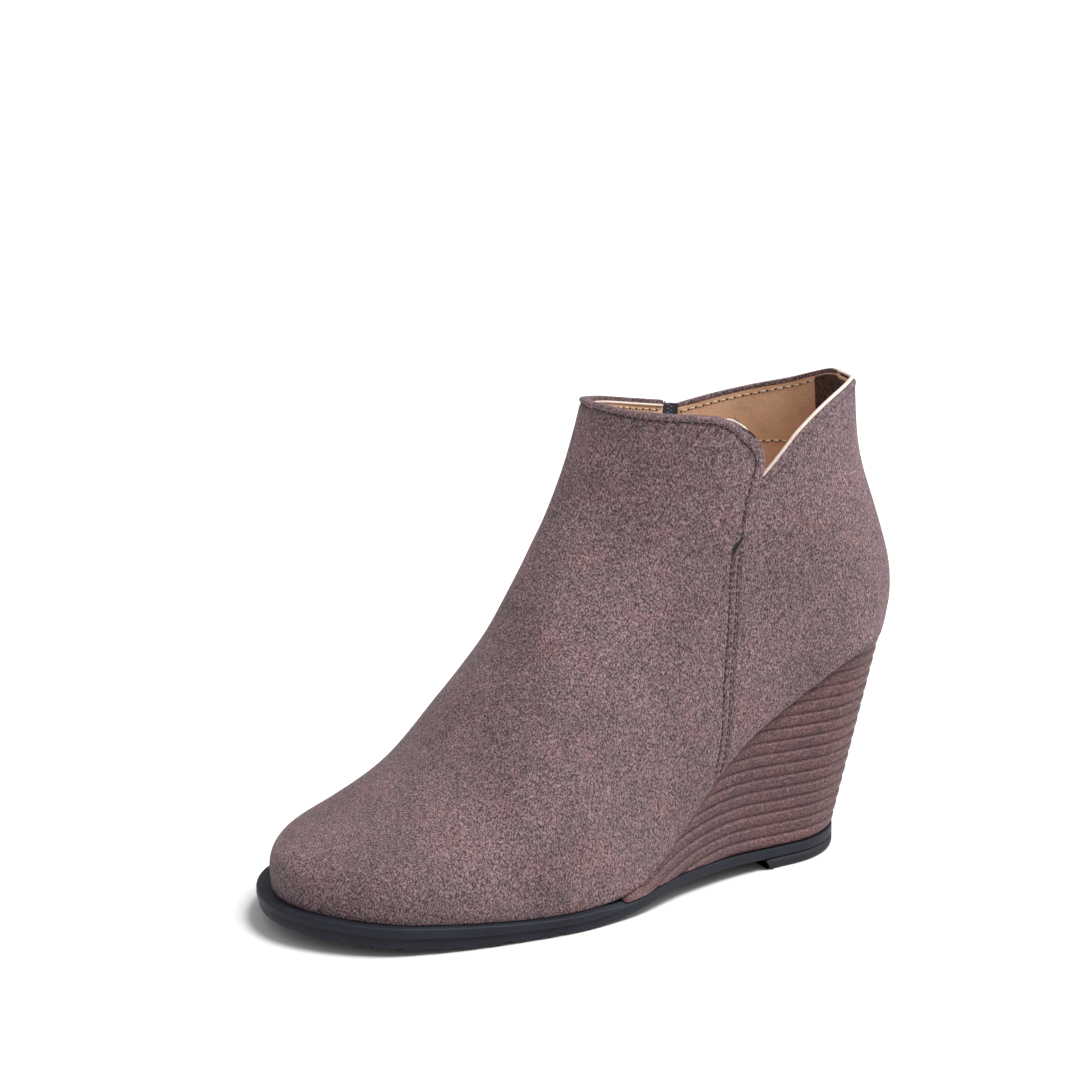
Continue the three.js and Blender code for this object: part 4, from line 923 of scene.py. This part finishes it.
cut = np.where(quarter_p[..., 1] > 0.01, CUT, 0)
q_lift = -0.55 * (1 - np.sqrt(1 - np.clip(1 - (d_top - cut) / 0.7, 0, 1) ** 2 * 0.98))
q_lift += 0.22 * np.sin(np.pi * np.clip((d_top - cut) / 2.6, 0, 1)) - 0.3 * bell(d_top, 3.7, 0.45)
q_lift -= np.where(on_back, 0.3 * bell(back_gap, 0, 0.5) - 0.12 * bell(back_gap, 1.3, 0.8), 0)
zip_q = quarter_full[:, -1]
d_zq, s_zq = away(quarter_p, zip_q[5:])
q_lift -= np.where(quarter_p[..., 1] < 0, 0.5 * (1 - np.sqrt(1 - np.clip(1 - d_zq / 0.7, 0, 1) ** 2 * 0.98)), 0)
q_lift += 0.6 * np.clip((45 - quarter_p[..., 0]) / 25, 0, 1) * bell(d_base, 1.6, 3.2)
fold = np.clip((2.1 - d_top) / 0.7, 0, 1) * (quarter_p[..., 1] < 0)
fold = -0.75 - 1.35 * np.maximum(fold, np.clip((2.1 - d_base) / 0.7, 0, 1))
build("quarter_suede", *slab(moved(quarter_p, quarter_n, q_lift), moved(quarter_p, quarter_n, fold)), "suede", "suede")


# Pale binding: a bead along the collar of the quarter, and a thin one behind the front panel's edge
def edge_frame(line, surface, normals, step=1.2):
    line = resample(line, step)
    flat_p, flat_n = surface.reshape(-1, 3), normals.reshape(-1, 3)
    n = np.array([flat_n[np.argmin(((flat_p - p) ** 2).sum(1))] for p in line])
    for _ in range(3):
        n[1:-1] = unit(n[:-2] + 2 * n[1:-1] + n[2:])
    tangent = unit(np.gradient(line, axis=0))
    down = unit(np.cross(n, tangent))
    return line, n, tangent, down


line, n, tangent, down = edge_frame(collar_q, quarter_p, quarter_n)
if down[len(down) // 3][2] > 0:
    down = -down
outer_side = np.argmin(np.abs(line[:, 1]) + (line[:, 0] > 60) * 99) + 4
part = slice(0, outer_side)
build("collar_binding", *bead(line[part] - n[part] * 1.2 + down[part] * 0.35, n[part], down[part], 0.72, 0.5),
      "binding", "lining")
top_line = np.concatenate([seam_edge[tack > np.interp(seat_z(0.70), seam_edge[:, 2], tack)], top_edge[1:]])
line, n, tangent, down = edge_frame(top_line, front, front_n)
if down[-len(down) // 2][2] > 0:
    down = -down
corner_at = seam_run - np.interp(seat_z(0.70), seam_edge[:, 2], tack)
run = np.concatenate([[0], np.cumsum(np.linalg.norm(np.diff(line, axis=0), axis=1))])
by_corner = bell(run, corner_at + 7, 9)[:, None]
build("front_binding", *bead(line - n * (2.0 - 0.5 * by_corner) + down * (1.75 - 2.35 * by_corner), n, down, 0.5, 0.5),
      "binding", "lining")

# Lining: the inner skin of both panels
inner_front = np.concatenate([front[:1], front[3:-10:3], front[-7:-2:2]])
inner_front_n = np.concatenate([front_n[:1], front_n[3:-10:3], front_n[-7:-2:2]])
pick = np.append(np.arange(3, front.shape[1] - 3, 3), front.shape[1] - 1)
inner_front, inner_front_n = inner_front[:, pick], inner_front_n[:, pick]
below = first // 3 + 5
inner_front[:below, -1] = lerp(inner_front[:below, -2], inner_front[:below, -1], 0.15)
build("lining_front", *slab(moved(inner_front, inner_front_n, -1.45), moved(inner_front, inner_front_n, -WALL)),
      "lining", "lining")
pick = np.concatenate([[2], np.arange(4, len(rows) - 10, 3), np.arange(len(rows) - 8, len(rows) - 2, 2)])
inner_q, inner_qn = quarter_p[pick, ::2], quarter_n[pick, ::2]
build("lining_quarter", *slab(moved(inner_q, inner_qn, -1.5), moved(inner_q, inner_qn, -WALL)), "lining", "lining")

# Stitches on the front panel
zip_run = np.linalg.norm(np.diff(zip_edge, axis=0), axis=1).sum()
top_run = np.linalg.norm(np.diff(free_edge, axis=0), axis=1).sum()
rows_of = [
    stitch_row(free_edge, front, front_n, groove_in, 2.5, 0.34, tack_at + 1, top_run - 3),
    stitch_row(free_edge, front, front_n, NEAR_ROW, 2.3, 0.06, 3, tack_at - 1),
    stitch_row(free_edge, front, front_n, FAR_ROW, 2.3, 0.08, 3, tack_at - 3),
    stitch_row(zip_edge, front, front_n, 1.6, 2.6, 0.30, 4, zip_run - 1),
    stitch_row(zip_edge, front, front_n, 4.7, 2.6, 0.34, 4, zip_run - 1),
    stitch_row(zip_q, quarter_p, quarter_n, 2.2, 2.6, -0.1, 4),
]
p, a, o = (np.concatenate(x) for x in zip(*rows_of))
build("stitches", *threads(p, a, o, 1.9, 0.38, 0.3), "thread", "suede", merge=False)
p, a, o = stitch_row(collar_q, quarter_p, quarter_n, 3.7, 2.6, -0.2, 2)
build("collar_stitches", *threads(p, a, o, 1.8, 0.26, 0.3), "suede_edge", "suede", merge=False)

# Inside: pale stitches under the collar, a sewn seam further down, and a suede patch at the centre back
p, a, o = (np.concatenate(x) for x in zip(
    stitch_row(collar_q, quarter_p, quarter_n, 3.0, 3.0, 0, 2),
    stitch_row(free_edge, front, front_n, 3.4, 3.0, 0, seam_run, top_run - 3),
))
build("lining_stitches", *threads(p - o * (WALL + 0.08), a, -o, 1.9, 0.26, 0.1), "pale_thread", "lining", merge=False)
# Dark dots at the needle holes between the pale stitches: painted shade of the holes
build("lining_hole_painted_shade", *threads(p - o * (WALL + 0.02) + a * 1.5, a, -o, 1.0, 0.34, 0.02), "thread", "lining", merge=False)
seam_z = seat_z(0.70)
keep_q = [k for k in range(quarter_p.shape[1]) if quarter_p[-1, k, 2] > seam_z + 6]
p = np.array([[np.interp(seam_z, quarter_p[:, k, 2], quarter_p[:, k, i]) for i in range(3)] for k in keep_q])
n = np.array([quarter_n[np.argmin(np.abs(quarter_p[:, k, 2] - seam_z)), k] for k in keep_q])
line = resample(p, 3.0)
n = unit(np.stack([np.interp(np.linspace(0, 1, len(line)), np.linspace(0, 1, len(n)), n[:, i]) for i in range(3)], -1))
t = unit(np.gradient(line, axis=0))
build("lining_seam_stitches", *threads(line - n * (WALL + 0.1), t, -n, 2.1, 0.3, 0.1), "pale_thread", "lining", merge=False)
# Dark dots at the needle holes of the sewn seam: painted shade of the holes
build("lining_seam_hole_painted_shade", *threads(line - n * (WALL + 0.02) + t * 1.5, t, -n, 1.0, 0.34, 0.02), "thread", "lining",
      merge=False)
rows_in = np.arange(len(rows))[seat_z(0.45) < quarter_p[:, mid, 2]]
reach = np.linspace(-1, 1, 25)
patch = []
for r in rows_in:
    run_r = np.concatenate([[0], np.cumsum(np.linalg.norm(np.diff(quarter_p[r], axis=0), axis=1))])
    centre = run_r[mid]
    half = 12.5 * math.sqrt(max(0.05, 1 - ((seat_z(1.0) - quarter_p[r, mid, 2]) / (0.56 * SHAFT_HEIGHT)) ** 4))
    patch.append([[np.interp(centre + k * half, run_r, quarter_p[r, :, i]) for i in range(3)] for k in reach])
patch = np.array(patch)
patch_n = grid_normals(patch)
patch, patch_n = patch[:-7], patch_n[:-7]
build("heel_patch", *slab(moved(patch, patch_n, -WALL), moved(patch, patch_n, -WALL - 0.7)), "patch_suede", "suede")

# Bar tack, slanting from the end of the groove to the far stitch row
def tack_in(s):
    return np.interp(s, [tack_at - 4.2, tack_at + 1.2], [FAR_ROW, 1.4])


p, a, o = stitch_row(free_edge, front, front_n, tack_in, 0.45, 0.55, tack_at - 4.2, tack_at + 1.2)
across = unit(np.cross(o, unit(np.gradient(p, axis=0))))
build("bar_tack", *threads(p, across, o, 1.7, 0.3, 0.3), "thread", "suede", merge=False)


# Sole and wedge
def ground_z(x):
    return np.maximum(0, ground_arch(x / LENGTH)) * PAD + np.maximum(0, ground_spring(x / LENGTH)) * TOE_SPRING


def ramp_at(x):
    return ease((x / LENGTH - RAMP_START) / (RAMP_END - RAMP_START))


def sole_top(x):
    return lerp(ground_z(x) + STRIP, bottom_z(x) - GAP, ramp_at(x))


def outline(back, tip, half, count, round_tip):
    i = np.arange(count + 1) / count
    share = (1 - np.cos(math.pi * i)) / 2 if round_tip else 1 - np.cos(math.pi / 2 * i)
    x = lerp(back, tip, share)
    inner = np.stack([x, -half(x, INNER)], -1)
    outer = np.stack([x, half(x, OUTER)], -1)
    outer = outer[count - 1:0:-1] if round_tip else outer[count:0:-1]
    return np.concatenate([inner, outer])


def offset(plan, distance):
    d = unit(np.roll(plan, -1, axis=0) - np.roll(plan, 1, axis=0))
    return plan + np.stack([d[:, 1], -d[:, 0]], -1) * np.asarray(distance).reshape(-1, 1)


def ring_solid(rings, round_tip):
    n = len(rings[0])
    points = np.concatenate(rings)
    i = np.arange(n)
    j = (i + 1) % n
    faces = [np.stack([i, j, j + n, i + n], -1) + r * n for r in range(len(rings) - 1)]
    faces = [list(f) for f in np.concatenate(faces)]
    last = n // 2 if round_tip else (n - 1) // 2
    for start, up in ((0, False), ((len(rings) - 1) * n, True)):
        for k in range(last):
            q = [start + k, start + k + 1, start + (n - k - 1) % n, start + (n - k) % n]
            q = q if up else q[::-1]
            if len(set(q)) == 4:
                faces.append(q)
            else:
                faces.append(list(dict.fromkeys(q)))
    return points, faces


def on(plan, z):
    return np.concatenate([plan, z[:, None]], axis=1)


def overhang(x):
    return eaves(x / LENGTH) * OVERHANG * np.clip((x / LENGTH - 0.02) / 0.08, 0, 1)


wedge_front = float(bisect(0.45 * LENGTH, 0.6 * LENGTH, lambda x: bottom_z(x) - GAP - sole_top(x) - GAP - 1.0))
low = outline(SOLE_BACK + 0.6, wedge_front, lambda x, s: sole_half(x, s) - 0.4, 84, False)
high_plan = outline(0.021 * LENGTH + overhang(0), wedge_front,
                    lambda x, s: np.maximum(0, feather_half(x, s) - overhang(x)), 84, False)
low[0, 1] = 0
high_plan[0, 1] = 0
low3 = on(low, sole_top(low[:, 0]) + GAP)
high3 = on(high_plan, bottom_z(high_plan[:, 0]) - GAP)
rise = high3[:, 2] - low3[:, 2]
drop = LAYER_DROP * np.clip((low[:, 0] / LENGTH - LAYER_BEND) / (RAMP_START - LAYER_BEND), 0, 1) ** 2
parts = np.array([0.001, 0.03, 0.1, 0.2, 0.33, 0.5, 0.68, 0.76, 0.82, 0.88, 0.94, 0.975])
heights = np.concatenate([(k + parts) * LAYER for k in range(LAYERS)] + [[LAYERS * LAYER, LAYERS * LAYER + 3]])
rings = []
for h in heights:
    real = np.clip(h - drop, 0, rise)
    p = lerp(low3, high3, (real / rise)[:, None])
    f = (real + drop) / LAYER
    f = f - np.floor(f)
    inset = 1.0 * np.clip(1 - f / 0.42, 0, 1) ** 1.8 + 1.0 * np.clip((f - 0.76) / 0.24, 0, 1) ** 1.1
    inset *= np.clip((rise - real) / 2, 0, 1)
    inset += 1.3 * np.clip(eaves(p[:, 0] / LENGTH) - 0.4, 0, 1) * np.clip(1 - (rise - real) / 3, 0, 1) ** 2
    q = offset(p[:, :2], -inset)
    rings.append(on(q, p[:, 2]))
build("wedge_layers", *ring_solid(rings, False), "wedge_cover", "wedge_cover", replaces=["wedge"])

plan = outline(SOLE_BACK, SOLE_TIP, sole_half, 150, True)
x = plan[:, 0]
ground = ground_z(x)
top = sole_top(x)
full = ramp_at(x)
tier = lerp(ground + STRIP, ground + (bottom_z(x) - GAP - ground) * 0.55, full)
tread = np.zeros_like(x)
for k in range(9):
    xk = lerp(0.63, 0.95, k / 8) * LENGTH + plan[:, 1] * math.tan(math.radians(8))
    tread += bell(x, xk, 1.0)
tread = np.clip(tread, 0, 1)
tier_in = 0.8 * full
step = np.minimum(top, tier)
profile = [
    (tier_in + 0.95, ground + tread * 1.0),
    (tier_in + 0.55, ground + 0.06 + tread * 1.0),
    (tier_in + 0.2, ground + 0.3 + tread * 0.9),
    (tier_in + 0.03, ground + 0.7 + tread * 0.5),
    (tier_in, ground + 1.1),
    (tier_in, lerp(ground + STRIP - 0.9, tier - 0.35, full)),
    (tier_in + 0.12 * full, lerp(ground + STRIP - 0.7, tier - 0.08, full)),
    (lerp(0.0, 0.5, full), lerp(ground + STRIP - 0.5, tier + 0.0, full)),
    (lerp(0.0, 0.12, full), lerp(ground + STRIP - 0.4, tier + 0.16, full)),
    (0.0 * x, lerp(ground + STRIP - 0.35, tier + 0.5, full)),
    (0.0 * x, lerp(ground + STRIP - 0.3, top - 0.9, full)),
    (0.0 * x + 0.1, lerp(ground + STRIP - 0.2, top - 0.5, full)),
    (0.0 * x + 0.35, lerp(ground + STRIP - 0.08, top - 0.18, full)),
    (0.0 * x + 0.8, top),
]
rings = [on(offset(plan, -inset), z) for inset, z in profile]
build("outsole_rubber", *ring_solid(rings, True), "sole_rubber", "sole_rubber", replaces=["outsole"])

plan = outline(SOLE_BACK, SOLE_BACK + PAD_LENGTH, sole_half, 60, False)
middle = (len(plan) - 1) // 2
rings = []
for inset, z, lean in ((1.0, 0, 3.4), (0.55, 0.08, 3.3), (0.2, 0.35, 3.0), (0.05, 0.8, 2.6), (0, 1.2, 2.2), (0, 3.3, 0)):
    p = offset(plan, -inset)
    p[middle:middle + 2, 0] = SOLE_BACK + PAD_LENGTH - lean
    rings.append(on(p, np.full(len(p), float(z))))
build("heel_pad_rubber", *ring_solid(rings, False), "pad_rubber", "pad_rubber", replaces=["heel_pad"])

# Zip: two rows of interlocked coil turns on the chain, and the stops at its top
chain = np.array([v.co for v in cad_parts["zip_chain"].data.vertices]) * 1000 + [ORIGIN_X, 0, 0]
z = np.arange(chain[:, 2].min() + 0.8, chain[:, 2].max() - 0.6, 0.62)
middle = zip_mid.point(zip_mid.rib(z))
zip_n = grid_normals(np.stack([middle + [-1, 0, 0], middle, middle + [1, 0, 0]], 1))[:, 1]
pick = [np.linalg.norm(chain - m, axis=1) < 9 for m in middle]
level_out = np.array([((chain[k] - m) @ n).max() for k, m, n in zip(pick, middle, zip_n)])
level_out = np.convolve(np.pad(level_out, 4, mode="edge"), np.full(9, 1 / 9), mode="valid")
up_zip = unit(np.gradient(middle, axis=0))
over_zip = unit(np.cross(zip_n, up_zip))
side = np.where(np.arange(len(z)) % 2, 1.0, -1.0)[:, None]
p = middle + zip_n * (level_out[:, None] - 0.12) + over_zip * side * 0.62
build("zip_coil", *threads(p, over_zip, zip_n, 2.0, 0.34, 0.3), "coil", "zip_tape", merge=False)
level_in = np.array([((chain[k] - m) @ n).min() for k, m, n in zip(pick, middle, zip_n)])
level_in = np.convolve(np.pad(level_in, 4, mode="edge"), np.full(9, 1 / 9), mode="valid")
p = middle + zip_n * (level_in[:, None] + 0.12) + over_zip * side * 0.62
build("zip_coil_inside", *threads(p, over_zip, -zip_n, 2.0, 0.34, 0.3), "coil", "zip_tape", merge=False)
p = middle[-3:] + zip_n[-3:] * (level_out[-3:, None] + 0.05) + over_zip[-3:] * np.array([[-1.1], [1.1], [-1.0]])
build("zip_stops", *threads(p, up_zip[-3:], zip_n[-3:], 2.2, 0.75, 0.1), "slider_metal", "slider_metal", merge=False)

# Facing strips that cover the tape inside, with the coil showing between them
end = int(np.searchsorted(z, z[-1] - 3.2))
for name, near_side in (("zip_facing_front", 1.0), ("zip_facing_back", -1.0)):
    edges = np.array([0.95, 2.0, 3.2, 4.3]) * near_side
    sheet = middle[:end, None] + over_zip[:end, None] * edges[None, :, None] - zip_n[:end, None] * (WALL + 0.05)
    back_face = sheet + zip_n[:end, None] * 0.6
    build(name, *slab(sheet, back_face), "lining", "lining")

# CAD nodes that stay
for name, mat in (("insole", "lining"), ("zip_chain", "tape"), ("zip_slider", "slider_metal"), ("zip_pull", "pull_paint")):
    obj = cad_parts[name]
    obj.data.materials.clear()
    obj.data.materials.append(MATERIALS[mat])

# Floor, light and camera
nt, shader = tree("floor")
nt.links.new(ramp(nt, noise(nt, place(nt), 3, 2), [(0.3, grey(0.86)), (0.7, grey(0.9))]), shader.inputs["Base Color"])
shader.inputs["Roughness"].default_value = 0.8
shader.inputs["Specular IOR Level"].default_value = 0.1
bpy.ops.mesh.primitive_plane_add(size=8, location=(0, 0, -0.0004))
floor = bpy.context.object
floor.name = "floor"
floor.data.materials.append(MATERIALS["floor"])

world = bpy.data.worlds.new("studio")
bpy.context.scene.world = world
world.use_nodes = True
world.node_tree.nodes["Background"].inputs["Color"].default_value = (1, 1, 1, 1)
world.node_tree.nodes["Background"].inputs["Strength"].default_value = 0.52
bpy.context.scene.view_settings.view_transform = "Standard"


def area(name, place, target, size, power):
    data = bpy.data.lights.new(name, "AREA")
    data.shape = "DISK"
    data.size = size
    data.energy = power
    obj = bpy.data.objects.new(name, data)
    bpy.context.scene.collection.objects.link(obj)
    obj.location = place
    obj.rotation_euler = (Vector(target) - Vector(place)).to_track_quat("-Z", "Y").to_euler()


sun = bpy.data.lights.new("key", "SUN")
sun.energy = 3.05
sun.angle = math.radians(28)
key = bpy.data.objects.new("key", sun)
bpy.context.scene.collection.objects.link(key)
key.rotation_euler = Vector((-0.55, 0.75, 2.0)).to_track_quat("Z", "Y").to_euler()
area("side", (-1.1, 0.3, 0.7), (0.0, 0, 0.08), 0.8, 5)

azimuth, elevation = math.radians(149.700), math.radians(16.207)
back = Vector((math.sin(azimuth) * math.cos(elevation), -math.cos(azimuth) * math.cos(elevation), math.sin(elevation)))
data = bpy.data.cameras.new("camera")
data.sensor_width = 36
data.lens = 36 * 5388.28 / 1066
data.clip_end = 20
camera = bpy.data.objects.new("camera", data)
bpy.context.scene.collection.objects.link(camera)
target = Vector(((96.598) / 1000, 0, 0.124736))
camera.location = target + back * 1.8
camera.rotation_euler = (-back).to_track_quat("-Z", "Y").to_euler()
bpy.context.scene.camera = camera
